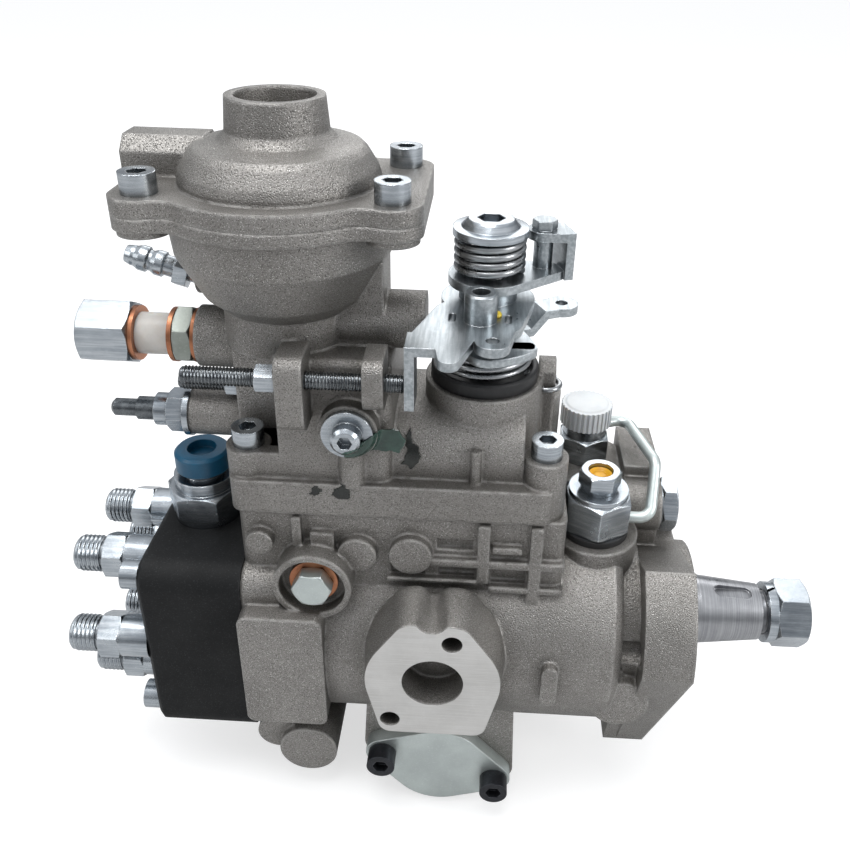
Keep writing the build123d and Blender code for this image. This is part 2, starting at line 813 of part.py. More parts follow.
def make_governor_cover():
    body = cover_outside()
    for x, y in cover_screw_places():
        if x < block_right and y > 0:
            body -= block(block_left - 1, x + screw_pocket_reach, y - screw_pocket_reach, 2 * cover_half_width,
                          cover_screw_seat, screw_pocket_top)
    pocket = block(block_left - 20, near_pocket_right, -2 * cover_half_width, near_pocket_side, cover_screw_seat,
                   block_top + 1)
    body -= fillet(pocket.edges().filter_by(Axis.Z).sort_by(Axis.X)[-2:].sort_by(Axis.Y)[-1:], 4.0)
    body += bowl_outside()
    for feature in cover_features():
        body += feature

    # Inside of the cover, the compensator well and its bowl
    hollow = block(cover_left + cover_wall, roof_right - cover_wall, -cavity_half_width, cavity_half_width,
                   cover_joint - 1, cover_ceiling)
    hollow += block(cover_left + cover_wall, cover_right - cover_wall, -cavity_half_width, cavity_half_width,
                    cover_joint - 1, cover_joint + cover_flange_height - cover_deck)
    for x, y in cover_screw_places():
        hollow -= rod_z(cover_boss_radius, cover_joint - 2, cover_ceiling + 1, x, y)
    body -= hollow
    body -= block(block_left + cover_wall, block_right - cover_wall, -well_half_width, well_half_width,
                  cover_ceiling - 1, block_top - 7)
    body -= rod_z(boost_pin_radius + running_fit, block_top - 8, spring_floor_z + 1, boost_x, boost_y)
    inner = [(0, spring_floor_z), (bowl_neck_radius - 4.5, spring_floor_z), (bowl_neck_radius - 4.5, bowl_neck_height + 4),
             (bowl_neck_radius + 2.0, bowl_depth_z + 2), (bowl_inner_radius - 3.5, bowl_depth_z + 10),
             (bowl_inner_radius - 2.0, boost_joint + 1), (0, boost_joint + 1)]
    body -= Pos(boost_x, boost_y, 0) * turned_z(inner)

    # Screw holes, throttle shaft bore and the threads of the fittings
    for x, y in cover_screw_places():
        body -= rod_z(m6_shank_radius + clear_hole, cover_joint - 1, cover_screw_seat + 1, x, y)
    for x, y in boost_screw_places():
        body -= rod_z(m6_shank_radius + thread_fit, boost_joint + boost_flange - m6_boost_shank - moving_gap,
                      boost_joint + 1, x, y)
    body -= rod_z(throttle_shaft_radius + running_fit, cover_ceiling - 1, tower_top + 1, lever_x, 0)
    body -= rod_x(stop_rod_radius + thread_fit, stop_rod_left, second_lug_x[1] + 1, stop_rod_y, stop_rod_z)
    body -= rod_x(stop_rod_radius + thread_fit, rear_rod_left, rear_rod_right + 1, rear_rod_y, rear_rod_z)
    body -= rod_x(full_load_radius + thread_fit, full_load_boss - 1, block_left + cover_wall + 1, 0, full_load_z)
    body -= rod_x(return_bolt_radius + thread_fit, return_boss - 1, block_left + cover_wall + 1, 0, return_z)
    body -= rod_y(3.05, -33.0, block_near + 8, seal_screw_x, seal_screw_z)
    body -= barb_place() * rod_z(3.05, -12.0, 1.0)
    return body


def barb_place():
    return Pos(barb_base[0], barb_y, barb_base[1]) * Rot(0, -(90 - barb_tilt), 0)


# Compensator

def boost_inlet():
    half = boost_inlet_half
    corner = 4.0
    sketch = chamfer(Rectangle(2 * half, 2 * half).vertices(), corner)
    inlet = Pos(boost_inlet_left, boost_y + 5, boost_inlet_height) * Rot(0, 90, 0) * extrude(
        sketch, boost_x - dome_shoulder_radius + 4 - boost_inlet_left)
    return inlet & block(boost_inlet_left - 1, boost_x, -boost_radius, boost_radius, boost_joint,
                         boost_inlet_height + 2 * half)


def make_boost_cover():
    flange = extrude(boost_outline(), boost_flange)
    top = boost_flange + dome_shoulder_height
    profile = [(0, boost_flange - 1), (dome_base_radius, boost_flange - 1), (dome_base_radius, boost_flange + 1.5),
               (dome_base_radius - 0.8, boost_flange + 4), (dome_shoulder_radius, top), (dome_shoulder_radius - 1.5, top + 1.5),
               (dome_cup_radius + 3.0, top + 3.2), (dome_cup_radius + 0.8, top + 5.5), (dome_cup_radius, dome_cup_height),
               (0, dome_cup_height)]
    body = flange + turned_z(profile)
    body = Pos(boost_x, boost_y, boost_joint) * body + boost_inlet()
    hollow = [(0, -1), (bowl_inner_radius - 2.0, -1), (bowl_inner_radius - 2.0, 2.5),
              (dome_shoulder_radius - dome_wall, dome_shoulder_height), (0, dome_shoulder_height)]
    body -= Pos(boost_x, boost_y, boost_joint) * turned_z(hollow)
    body -= Pos(boost_x, boost_y, boost_joint) * rod_z(dome_cup_bore, dome_cup_height - 7, dome_cup_height + 1)
    body -= rod_x(boost_inlet_bore, boost_inlet_left - 1, boost_x - dome_shoulder_radius + 6, boost_y + 5,
                  boost_inlet_height)
    for x, y in boost_screw_places():
        body -= rod_z(m6_shank_radius + clear_hole, boost_joint - 1, boost_joint + boost_flange + 1, x, y)
        seat = boost_joint + boost_flange
        body -= rod_z(m6_head_radius + 0.5, seat, seat + m6_head_height + 12, x, y)
    return body


def make_diaphragm():
    """Rubber disc clamped in the compensator's joint, waved round its plates."""
    inner = bowl_inner_radius - 2.5
    profile = [(boost_pin_radius + slide_fit, -1.5), (diaphragm_plate_radius, -1.5), (diaphragm_plate_radius + 2.5, -4.0),
               (inner, 0), (inner, -diaphragm_thickness), (diaphragm_plate_radius + 2.5, -5.0),
               (diaphragm_plate_radius - 0.3, -2.5), (boost_pin_radius + slide_fit, -2.5)]
    return Pos(boost_x, boost_y, boost_joint) * turned_z(profile)


def make_boost_pin():
    """Pin with the plates that hold the middle of the diaphragm, and its control taper."""
    plate = diaphragm_plate_radius - 0.8
    tip = -48 - boost_travel - 8
    profile = [(0, tip), (2.2, tip), (boost_pin_radius - 0.8, -48), (boost_pin_radius, -46), (boost_pin_radius, -5.5),
               (plate - 4, -5.5), (plate, -4.0), (plate, -2.6), (boost_pin_radius, -2.6), (boost_pin_radius, -1.4),
               (plate, -1.4), (plate, 0.6), (7.0, 1.0), (7.0, 5.0), (0, 5.0)]
    return Pos(boost_x, boost_y, boost_joint) * turned_z(profile)


def make_boost_spring():
    low = spring_floor_z
    high = boost_joint - 5.6
    return Pos(boost_x, boost_y, low) * coil(boost_spring_radius, boost_spring_wire, high - low, boost_spring_turns)


# Distributor head and outlets

def make_distributor_head():
    left = housing_rear - head_length
    outline = Pos(0, (head_top + head_bottom) / 2) * RectangleRounded(2 * head_half, head_top - head_bottom, head_corner)
    body = Pos(left, 0, 0) * extrude(Plane.YZ * outline, head_length)
    body = chamfer(body.edges().group_by(Axis.X)[0], 1.5)
    body += rod_x(barrel_bore_radius - 0.05, housing_rear - 1, housing_rear + head_spigot_length)
    body -= rod_x(head_barrel_radius + 0.02, left + 10, housing_rear + head_spigot_length + 1)
    body -= rod_x(8.05, left - 1, left + 11)
    for y, z in outlet_places():
        body -= rod_x(outlet_seat_radius + 0.05, left - 1, left + outlet_seat_depth, y, z)
    for y, z in head_screw_places():
        body -= rod_x(m6_shank_radius + clear_hole, left - 1, housing_rear + 1, y, z)
    body -= rod_z(8.05, head_top - solenoid_depth, head_top + 1, solenoid_x, 0)
    body -= rod_z(stop_plunger_radius + 0.5, head_barrel_radius - 1, head_top - solenoid_depth + 1, solenoid_x, 0)
    for side in (-1, 1):
        body -= rod_x(plunger_spring_radius + 0.4, housing_rear + head_spigot_length - 6,
                      housing_rear + head_spigot_length + 1, side * spring_offset, 0)
    return body


def make_distributor_barrel():
    left = housing_rear - head_length + 10
    body = rod_x(head_barrel_radius, left, housing_rear + head_spigot_length + 2)
    body -= rod_x(plunger_radius + running_fit, left - 1, housing_rear + head_spigot_length + 3)
    return body


def make_head_plug():
    left = housing_rear - head_length
    body = rod_x(8.0, left, left + 8)
    body += along_x(Rot(0, 0, 30) * crowned_hex(head_plug_across, head_plug_length), left - head_plug_length)
    tip = left - head_plug_length
    body += rod_x(head_plug_tip_radius, tip - head_plug_tip_length, tip)
    body -= hex_x(5.0, tip - head_plug_tip_length - 1, tip - head_plug_tip_length + 3)
    return body


def make_outlet(y, z):
    left = housing_rear - head_length
    hex_end = left - outlet_body_length
    thread_end = hex_end - outlet_hex_length
    tip = thread_end - outlet_thread_length
    body = rod_x(outlet_seat_radius, left, left + outlet_seat_depth - 0.5, y, z)
    body += rod_x(outlet_body_radius, hex_end, left, y, z)
    body += along_x(crowned_hex(outlet_hex_across, outlet_hex_length), thread_end, y, z)
    body += rod_x(outlet_thread_radius - 0.7, thread_end - 1.6, thread_end, y, z)
    body += rod_x(outlet_thread_radius, tip, thread_end - 1.5, y, z)
    body = chamfer(body.edges().filter_by(GeomType.CIRCLE).sort_by(Axis.X)[0], 0.8)
    body -= rod_x(outlet_bore_radius, tip - 1, left + outlet_seat_depth, y, z)
    body -= along_x(Pos(0, 0, 0) * Cone(4.0, outlet_bore_radius, 4.0, align=(Align.CENTER, Align.CENTER, Align.MIN)),
                    tip - 0.01, y, z)
    return body


def make_solenoid_body():
    seat = head_top
    hex_top = seat + 2.5 + solenoid_hex_length
    body = rod_z(8.0, seat - solenoid_depth + 0.5, seat, solenoid_x, 0)
    body += rod_z(solenoid_radius + 1.5, seat, seat + 2.5, solenoid_x, 0)
    body += Pos(solenoid_x, 0, seat + 2.5) * crowned_hex(solenoid_hex_across, solenoid_hex_length)
    body += rod_z(solenoid_radius, hex_top, hex_top + solenoid_neck_length - 2.5, solenoid_x, 0)
    body += rod_z(solenoid_neck_radius - 2, hex_top, hex_top + solenoid_neck_length, solenoid_x, 0)
    bore_end = head_barrel_radius + 2 * moving_gap + stop_plunger_length + stop_travel
    body -= rod_z(stop_plunger_radius + running_fit, seat - solenoid_depth, bore_end, solenoid_x, 0)
    return body


def make_solenoid_cap():
    low = head_top + 2.5 + solenoid_hex_length + solenoid_neck_length
    body = rod_z(solenoid_cap_radius, low, low + solenoid_cap_height, solenoid_x, 0)
    body = chamfer(body.edges().group_by(Axis.Z)[-1], 1.0)
    return body - rod_z(5.0, low + solenoid_cap_height - 3, low + solenoid_cap_height + 1, solenoid_x, 0)


def make_stop_plunger():
    low = head_barrel_radius + moving_gap
    body = rod_z(stop_plunger_radius, low, low + stop_plunger_length, solenoid_x, 0)
    return chamfer(body.edges().group_by(Axis.Z)[0], 0.8)


# Screws

def make_cover_screws():
    return [Pos(x, y, cover_screw_seat) * socket_screw(m6_cover_shank) for x, y in cover_screw_places()]


def make_short_screws():
    seat = boost_joint + boost_flange
    screws = [Pos(x, y, seat) * socket_screw(m6_boost_shank) for x, y in boost_screw_places()]
    reach = timer_half_length + timer_plate_thickness
    for x, z in timer_screw_places():
        for side in (-1, 1):
            screws.append(Pos(x, side * reach, z) * Rot(side * -90, 0, 0) * socket_screw(m6_short_shank))
    return screws


def make_head_screws():
    left = housing_rear - head_length
    return [Pos(left, y, z) * Rot(0, -90, 0) * socket_screw(m6_head_shank) for y, z in head_screw_places()]


def make_seal_screw():
    y = -32.0
    body = rod_y(seal_ring_radius, y - 1.6, y, seal_screw_x, seal_screw_z)
    body += rod_y(seal_head_radius, y - 6.0, y - 1.6, seal_screw_x, seal_screw_z)
    body = chamfer(body.edges().filter_by(GeomType.CIRCLE).sort_by(Axis.Y)[0], 1.0)
    body += rod_y(3.0, y, block_near + 6, seal_screw_x, seal_screw_z)
    return body - hex_y(4.0, y - 7.0, y - 3.5, seal_screw_x, seal_screw_z)


def make_adjusting_screws():
    near = rod_x(stop_rod_radius, stop_rod_left, stop_rod_right, stop_rod_y, stop_rod_z)
    near = chamfer(near.edges(), 0.5)
    rear = rod_x(stop_rod_radius, rear_rod_left, rear_rod_right, rear_rod_y, rear_rod_z)
    rear = chamfer(rear.edges(), 0.5)
    load = rod_x(full_load_radius, full_load_tip + 9, frame_back, 0, full_load_z)
    load += rod_x(full_load_radius - 1.0, full_load_tip, full_load_tip + 9, 0, full_load_z)
    load = chamfer(load.edges().filter_by(GeomType.CIRCLE).sort_by(Axis.X)[0], 1.0)
    return [near, rear, load]


def make_lock_nuts():
    near = along_x(crowned_hex(stop_nut_across, stop_nut_length), first_lug_x[0] - stop_nut_length,
                   stop_rod_y, stop_rod_z)
    near -= rod_x(stop_rod_radius + 0.03, stop_rod_left, first_lug_x[1], stop_rod_y, stop_rod_z)
    rear = along_x(crowned_hex(stop_nut_across, stop_nut_length), block_left - stop_nut_length,
                   rear_rod_y, rear_rod_z)
    rear -= rod_x(stop_rod_radius + 0.03, rear_rod_left, block_left + 1, rear_rod_y, rear_rod_z)
    hex_left = full_load_boss - 2.0 - full_load_nut_length
    load = along_x(Rot(0, 0, 30) * crowned_hex(full_load_nut_across, full_load_nut_length), hex_left, 0, full_load_z)
    load += rod_x(full_load_nut_across / 2 + 2.0, full_load_boss - 2.0, full_load_boss, 0, full_load_z)
    load += rod_x(5.6, hex_left - 4.5, hex_left, 0, full_load_z)
    load -= rod_x(full_load_radius + 0.03, full_load_tip, full_load_boss + 1, 0, full_load_z)
    return [near, rear, load]


# Fuel return union, from the boss outwards

def return_stations():
    """X of the face of each piece in the stack, right to left."""
    widths = (copper_thickness, return_hex_length, copper_thickness, return_spacer_length, copper_thickness,
              return_cap_length)
    faces = [return_boss]
    for width in widths:
        faces.append(faces[-1] - width)
    return faces


def make_return_union():
    faces = return_stations()
    body = along_x(crowned_hex(return_hex_across, return_hex_length), faces[2], 0, return_z)
    body += rod_x(return_bolt_radius, faces[2], block_left + cover_wall + 0.5, 0, return_z)
    body += rod_x(return_bolt_radius, faces[5] - 9.0, faces[1], 0, return_z)
    return body - rod_x(2.5, faces[5] - 10.0, block_left + cover_wall + 1, 0, return_z)


def make_return_spacer():
    faces = return_stations()
    body = rod_x(return_spacer_radius, faces[4], faces[3], 0, return_z)
    return body - rod_x(return_bolt_radius + 0.05, faces[4] - 1, faces[3] + 1, 0, return_z)


def make_return_cap_nut():
    faces = return_stations()
    body = along_x(crowned_hex(return_cap_across, return_cap_length), faces[6], 0, return_z)
    return body - rod_x(return_bolt_radius + 0.05, faces[5] - 9.5, faces[5] + 1, 0, return_z)


def washer_x(x0, outer, bore, y=0.0, z=0.0):
    return rod_x(outer, x0, x0 + copper_thickness, y, z) - rod_x(bore, x0 - 1, x0 + copper_thickness + 1, y, z)


def make_copper_washers():
    faces = return_stations()
    rings = [washer_x(faces[i], return_cap_across / 2 - 0.6, return_bolt_radius + 0.05, 0, return_z)
             for i in (1, 3, 5)]
    for side in (-1, 1):
        ends = sorted((side * pivot_seat, side * (pivot_seat + copper_thickness)))
        ring = rod_y(8.0, ends[0], ends[1], pivot_x, pivot_height)
        rings.append(ring - rod_y(pivot_thread_radius + thread_fit, ends[0] - 1, ends[1] + 1, pivot_x, pivot_height))
    return rings


def make_vent_barb():
    profile = [(0, -9), (3.0, -9), (3.0, 0), (4.6, 0), (4.6, 4), (3.4, 5), (3.4, 8.0), (4.2, 8.6), (4.2, 11.0), (3.4, 12.6),
               (3.4, 13.4), (4.2, 14.0), (4.2, 16.4), (3.4, 18.0), (3.4, 19.0), (2.8, barb_length), (0, barb_length)]
    body = turned_z(profile) + hex_z(10.0, 0, 4.5)
    body -= rod_z(1.6, -10, barb_length + 1)
    return barb_place() * body


# Unions on the front top

def make_inlet_union():
    low = inlet_seat + inlet_ring_height
    high = low + inlet_hex_height
    body = rod_z(inlet_thread_radius - 0.05, inlet_seat - inlet_thread_depth + 0.5, low, inlet_x, inlet_y)
    body += Pos(inlet_x, inlet_y, low) * Rot(0, 0, 30) * crowned_hex(inlet_hex_across, inlet_hex_height)
    body += rod_z(inlet_collar_radius, high - 1, high + inlet_collar_height, inlet_x, inlet_y)
    return body - rod_z(inlet_bore_radius, inlet_seat - inlet_thread_depth, high + inlet_collar_height + 1,
                        inlet_x, inlet_y)


def make_inlet_top_nut():
    low = inlet_seat + inlet_ring_height + inlet_hex_height + inlet_collar_height
    body = rod_z(inlet_top_across / 2, low, low + 1.5, inlet_x, inlet_y)
    body += Pos(inlet_x, inlet_y, low + 1.5) * crowned_hex(inlet_top_across, inlet_top_height - 1.5)
    return body - rod_z(inlet_bore_radius, low - 1, low + inlet_top_height + 1, inlet_x, inlet_y)


def make_seal_rings():
    """Ring under the inlet union, ring behind the head plug's flange and the shaft's lip seal."""
    inlet = rod_z(inlet_ring_radius, inlet_seat, inlet_seat + inlet_ring_height, inlet_x, inlet_y)
    inlet -= rod_z(inlet_thread_radius, inlet_seat - 1, inlet_seat + inlet_ring_height + 1, inlet_x, inlet_y)
    rear = pilot_length - seal_length
    lip = rod_x(seal_radius, rear, pilot_length - 0.5)
    lip -= rod_x(shaft_radius + moving_gap, rear - 1, pilot_length + 1)
    lip -= rod_x(seal_radius - 3, rear - 1, rear + 3)
    return [inlet, lip]


def tube_points():
    """Corners of the overflow tube, from inside the overflow union to the side of the inlet union's hexagon."""
    start_z = overflow_seat + overflow_hex_height + overflow_neck_height - tube_drop
    first = (overflow_x + 16.0, overflow_y + 6.0, start_z)
    second = (valve_x - 3.4, valve_y - 2.0, start_z)
    end_z = inlet_seat + inlet_ring_height + 3.0
    third = (valve_x - 5.6, inlet_y, end_z)
    return [(overflow_x, overflow_y, start_z), first, second, third,
            (inlet_x + inlet_hex_across / 2, inlet_y, end_z)]


def tube_turn():
    start, first = tube_points()[:2]
    return degrees(atan2(first[1] - start[1], first[0] - start[0]))


def make_overflow_union():
    neck = overflow_seat + overflow_hex_height
    body = rod_z(overflow_thread_radius - 0.05, overflow_seat - 9, overflow_seat, overflow_x, overflow_y)
    body += Pos(overflow_x, overflow_y, overflow_seat) * Rot(0, 0, 30) * crowned_hex(overflow_hex_across,
                                                                                    overflow_hex_height)
    body += rod_z(overflow_neck_radius, neck, neck + overflow_neck_height, overflow_x, overflow_y)
    hole = rod_x(tube_radius + 0.03, 4.0, 4.0 + overflow_neck_radius)
    return body - Pos(*tube_points()[0]) * Rot(0, 0, tube_turn()) * hole


def make_overflow_cap():
    low = overflow_seat + overflow_hex_height + overflow_neck_height
    body = rod_z(overflow_cap_radius, low, low + overflow_cap_height, overflow_x, overflow_y)
    return fillet(body.edges().group_by(Axis.Z)[-1], 1.2)


def make_overflow_tube():
    points = tube_points()
    turn = radians(tube_turn())
    start = (points[0][0] + 4.0 * cos(turn), points[0][1] + 4.0 * sin(turn), points[0][2])
    path = FilletPolyline(start, *points[1:], radius=tube_bend)
    section = Plane(origin=path @ 0, z_dir=path % 0) * Circle(tube_radius)
    return sweep(section, path)


def make_regulating_valve():
    """Hexagon plug over the supply pressure valve, screwed into the front of the casting."""
    body = rod_x(valve_thread_radius - thread_fit, valve_x - valve_thread_length, valve_x, valve_y, valve_z)
    body += rod_x(valve_across / 2, valve_x, valve_x + 1.0, valve_y, valve_z)
    head = along_x(Rot(0, 0, 30) * crowned_hex(valve_across, valve_head_length), valve_x + 0.6, valve_y, valve_z)
    return body + head


# Timer

def make_timer_plates():
    plates = []
    for side in (-1, 1):
        plate = Plane.XZ * (Pos(timer_x, timer_height) * timer_plate_outline())
        plate = extrude(plate, timer_plate_thickness)
        plate = Pos(0, (-timer_half_length if side < 0 else timer_half_length + timer_plate_thickness), 0) * plate
        for x, z in timer_screw_places():
            plate -= rod_y(m6_shank_radius + clear_hole, -60, 60, x, z)
        plates.append(plate)
    return plates


def make_timer_piston():
    body = rod_y(timer_bore_radius - slide_fit, timer_piston_near, timer_piston_far, timer_x, timer_height)
    body -= rod_y(timer_spring_radius + 0.6, timer_piston_far - 6, timer_piston_far + 1, timer_x, timer_height)
    reach = timer_pin_radius + 2.6
    body -= block(timer_x - timer_pin_radius - 1.0, timer_x + timer_pin_radius + 1.0, -reach, reach,
                  timer_height - 4, timer_height + timer_bore_radius + 1)
    return body


def make_timer_spring():
    start = timer_piston_far - 6
    length = timer_half_length - start
    spring = coil(timer_spring_radius, timer_spring_wire, length, timer_spring_turns)
    return Pos(timer_x, start, timer_height) * Rot(-90, 0, 0) * spring


def make_roller_ring():
    """Ring with a roller pocket at each cam lobe, the rollers and the timer's pin."""
    front = timer_x + roller_ring_width / 2
    rear = timer_x - roller_ring_width / 2
    ring = rod_x(roller_ring_radius - slide_fit, rear, front)
    ring -= rod_x(roller_ring_bore, rear - 1, front + 1)
    roller_x = rear + roller_radius - 1.5
    rollers = []
    for i in range(outlet_count):
        turn = Rot(360 * i / outlet_count, 0, 0)
        pocket = rod_z(roller_radius + 0.3, roller_circle - roller_length / 2 - 0.3,
                       roller_circle + roller_length / 2 + 0.3, roller_x, 0)
        ring -= turn * pocket
        rollers.append(turn * rod_z(roller_radius, roller_circle - roller_length / 2,
                                    roller_circle + roller_length / 2, roller_x, 0))
        ring -= turn * rod_z(1.55, roller_ring_bore - 1, roller_ring_radius + 1, roller_x, 0)
        rollers.append(turn * rod_z(1.5, roller_circle + roller_length / 2 + 0.05, roller_ring_radius - 0.4, roller_x, 0))
    ring += rod_z(timer_pin_radius, timer_height - 3, -roller_ring_radius + 2, timer_x, 0)
    return [ring] + rollers


# Drive train on the shaft axis

def make_drive_shaft():
    taper_end = taper_start + taper_length
    flange_right = gear_front - gear_width - 0.5
    flange_left = flange_right - shaft_flange_thickness
    profile = [(0, flange_left), (claw_radius, flange_left), (claw_radius, flange_right), (shaft_radius, flange_right),
               (shaft_radius, taper_start),
               (taper_small_radius, taper_end), (shaft_thread_radius - 0.6, taper_end + 0.4),
               (shaft_thread_radius - 0.6, taper_end + 2.0), (shaft_thread_radius, taper_end + 2.6),
               (shaft_thread_radius, shaft_thread_end - 1.2), (shaft_thread_radius - 1.2, shaft_thread_end),
               (0, shaft_thread_end)]
    body = along_x(turned_z(profile))
    keyway = Pos(taper_start + 5 + key_slot_length / 2, 0, 0) * extrude(
        SlotOverall(key_slot_length, key_slot_width), shaft_radius + 2)
    keyway &= block(0, 40, -10, 10, taper_small_radius + 0.9 - key_slot_depth + 0.6, 20)
    body -= Rot(12, 0, 0) * keyway
    for side in (-1, 1):
        ends = sorted((side * 5.0, side * (claw_radius - 1)))
        body += block(flange_left - claw_overlap, flange_left + 1, ends[0], ends[1], -claw_width / 2, claw_width / 2)
    return body


def make_drive_nut():
    left = taper_start + taper_length + 2.5 + spring_washer_thickness
    body = along_x(Rot(0, 0, 30) * crowned_hex(drive_nut_across, drive_nut_length), left)
    return body - rod_x(shaft_thread_radius + 0.03, left - 1, left + drive_nut_length + 1)


def make_spring_washer():
    left = taper_start + taper_length + 2.5
    ring = rod_x(spring_washer_radius, left, left + spring_washer_thickness)
    ring -= rod_x(shaft_thread_radius + 0.3, left - 1, left + spring_washer_thickness + 1)
    cut = Pos(left + spring_washer_thickness / 2, 0, spring_washer_radius) * Rot(0, 0, 30) * Box(20, 1.2, 10)
    return ring - cut


def make_drive_gear():
    gear = spur_gear(drive_gear_teeth, gear_width, shaft_radius + 0.03)
    pitch = 360 / drive_gear_teeth
    turn = 90 - round(90 / pitch) * pitch
    return Pos(gear_front - gear_width, 0, 0) * Rot(turn, 0, 0) * gear


def make_vane_pump_stator():
    front = pump_front - 0.5
    ring = rod_x(barrel_bore_radius - 0.05, front - pump_ring_thickness, front)
    ring -= rod_x(pump_ring_bore, front - pump_ring_thickness - 1, front + 1, 0, pump_eccentricity)
    plate_front = front - pump_ring_thickness
    plate = rod_x(barrel_bore_radius - 0.05, plate_front - port_plate_thickness, plate_front)
    plate -= rod_x(shaft_radius + 0.5, plate_front - port_plate_thickness - 1, plate_front + 1)
    for angle in (30, 150):
        port = Pos(0, 17 * cos(radians(angle)), 17 * sin(radians(angle))) * rod_x(
            2.5, plate_front - port_plate_thickness - 1, plate_front + 1)
        plate -= port
    return [ring, plate]


def make_vane_rotor():
    front = pump_front - 0.5 - 0.15
    thick = pump_ring_thickness - 0.3
    rotor = rod_x(vane_rotor_radius, front - thick, front) - rod_x(shaft_radius + 0.03, front - thick - 1, front + 1)
    solids = []
    for i in range(vane_count):
        turn = Rot(45 + 360 * i / vane_count, 0, 0)
        rotor -= turn * block(front - thick - 1, front + 1, -vane_thickness / 2, vane_thickness / 2,
                              shaft_radius + 1.5, vane_rotor_radius + 1)
        solids.append(turn * block(front - thick, front, -vane_thickness / 2 + 0.05, vane_thickness / 2 - 0.05,
                                   shaft_radius + 1.6, vane_rotor_radius + 0.4))
    return [rotor] + solids


def make_cam_plate():
    """Face cam with one lobe for each outlet and the two claws that the shaft drives."""
    lobe_front = timer_x - roller_ring_width / 2 - 1.5 - moving_gap
    face = lobe_front - cam_lift
    body = rod_x(cam_radius, face - cam_thickness, face)
    for i in range(outlet_count):
        turn = Rot(360 * (i + 0.5) / outlet_count, 0, 0)
        lobe = block(face - 1, lobe_front, -5.5, 5.5, roller_ring_bore + 1.5, cam_radius - 0.5)
        lobe = chamfer(lobe.edges().group_by(Axis.X)[-1].filter_by(Axis.Z), 1.9)
        body += turn * lobe
    body += rod_x(claw_radius, face - 1, face + 4)
    claw_end = gear_front - gear_width - 0.5 - shaft_flange_thickness - moving_gap
    for side in (-1, 1):
        ends = sorted((side * 5.0, side * (claw_radius - 1)))
        body += block(face, claw_end, -claw_width / 2, claw_width / 2, ends[0], ends[1])
    body -= rod_x(plunger_radius + 0.03, face - cam_thickness - 1, face - 2)
    return body


def make_plunger():
    lobe_front = timer_x - roller_ring_width / 2 - 1.5 - moving_gap
    foot = lobe_front - cam_lift - cam_thickness
    body = rod_x(plunger_radius, plunger_end, foot + 4)
    body += rod_x(9.0, foot - 2.5, foot)
    body -= rod_x(1.0, plunger_end - 1, pivot_x + 2)
    return body


def make_plunger_springs():
    """Two springs on their bridge, which the plunger's foot carries."""
    lobe_front = timer_x - roller_ring_width / 2 - 1.5 - moving_gap
    bridge_right = lobe_front - cam_lift - cam_thickness - 2.5 - moving_gap
    bridge_left = bridge_right - bridge_thickness
    bridge = block(bridge_left, bridge_right, -spring_offset - 6, spring_offset + 6, -6.5, 6.5)
    bridge = fillet(bridge.edges().filter_by(Axis.X), 5.0)
    bridge -= rod_x(plunger_radius + moving_gap, bridge_left - 1, bridge_right + 1)
    end = housing_rear + head_spigot_length - 6
    solids = [bridge]
    for side in (-1, 1):
        spring = coil(plunger_spring_radius, plunger_spring_wire, bridge_left - end, plunger_spring_turns)
        solids.append(Pos(end, side * spring_offset, 0) * Rot(0, 90, 0) * spring)
    return solids


# Governor

def make_governor_shaft():
    body = rod_x(governor_shaft_radius, governor_shaft_end, front_wall_back + governor_shaft_seat, 0, governor_height)
    return chamfer(body.edges().sort_by(Axis.X)[0], 0.6)


def make_governor_cage():
    rear = gear_front - gear_width
    gear = spur_gear(governor_gear_teeth, gear_width, governor_shaft_radius + running_fit)
    mesh_turn = 360 / governor_gear_teeth / 2
    body = Pos(rear, 0, governor_height) * Rot(mesh_turn, 0, 0) * gear
    cup = rod_x(cage_radius, rear - cage_length, rear) - rod_x(cage_radius - 2, rear - cage_length - 1, rear - 3)
    cup -= rod_x(governor_shaft_radius + running_fit, rear - 4, rear + 1)
    for i in range(flyweight_count):
        turn = Rot(360 * i / flyweight_count, 0, 0)
        cup -= turn * block(rear - cage_length + 2, rear - 3, -flyweight_width / 2 - 0.3, flyweight_width / 2 + 0.3,
                            0, cage_radius + 1)
    return body + Pos(0, 0, governor_height) * cup


def make_flyweights():
    rear = gear_front - gear_width
    solids = []
    for i in range(flyweight_count):
        turn = Rot(360 * i / flyweight_count, 0, 0)
        weight = block(rear - cage_length + 2.4, rear - 3.4, -flyweight_width / 2, flyweight_width / 2, 11.0, cage_radius)
        weight += block(rear - cage_length, rear - cage_length + 3, -flyweight_width / 2, flyweight_width / 2, 8.5, 14.0)
        weight &= rod_x(cage_radius - 0.05, rear - cage_length, rear)
        solids.append(Pos(0, 0, governor_height) * turn * weight)
    return solids


def make_governor_sleeve():
    right = gear_front - gear_width - cage_length - moving_gap
    tip = pivot_x + lever_plate / 2 + moving_gap
    body = rod_x(sleeve_radius, tip + 6, right, 0, governor_height)
    body += rod_x(sleeve_radius + 3.0, right - 2.5, right, 0, governor_height)
    nose = along_x(turned_z([(0, 0), (1.0, 0), (3.0, 0.8), (sleeve_radius, 6), (0, 6)]), tip, 0, governor_height)
    body += nose
    return body - rod_x(governor_shaft_radius + running_fit, governor_shaft_end - sleeve_travel - 1.5, right + 1,
                        0, governor_height)


# Levers

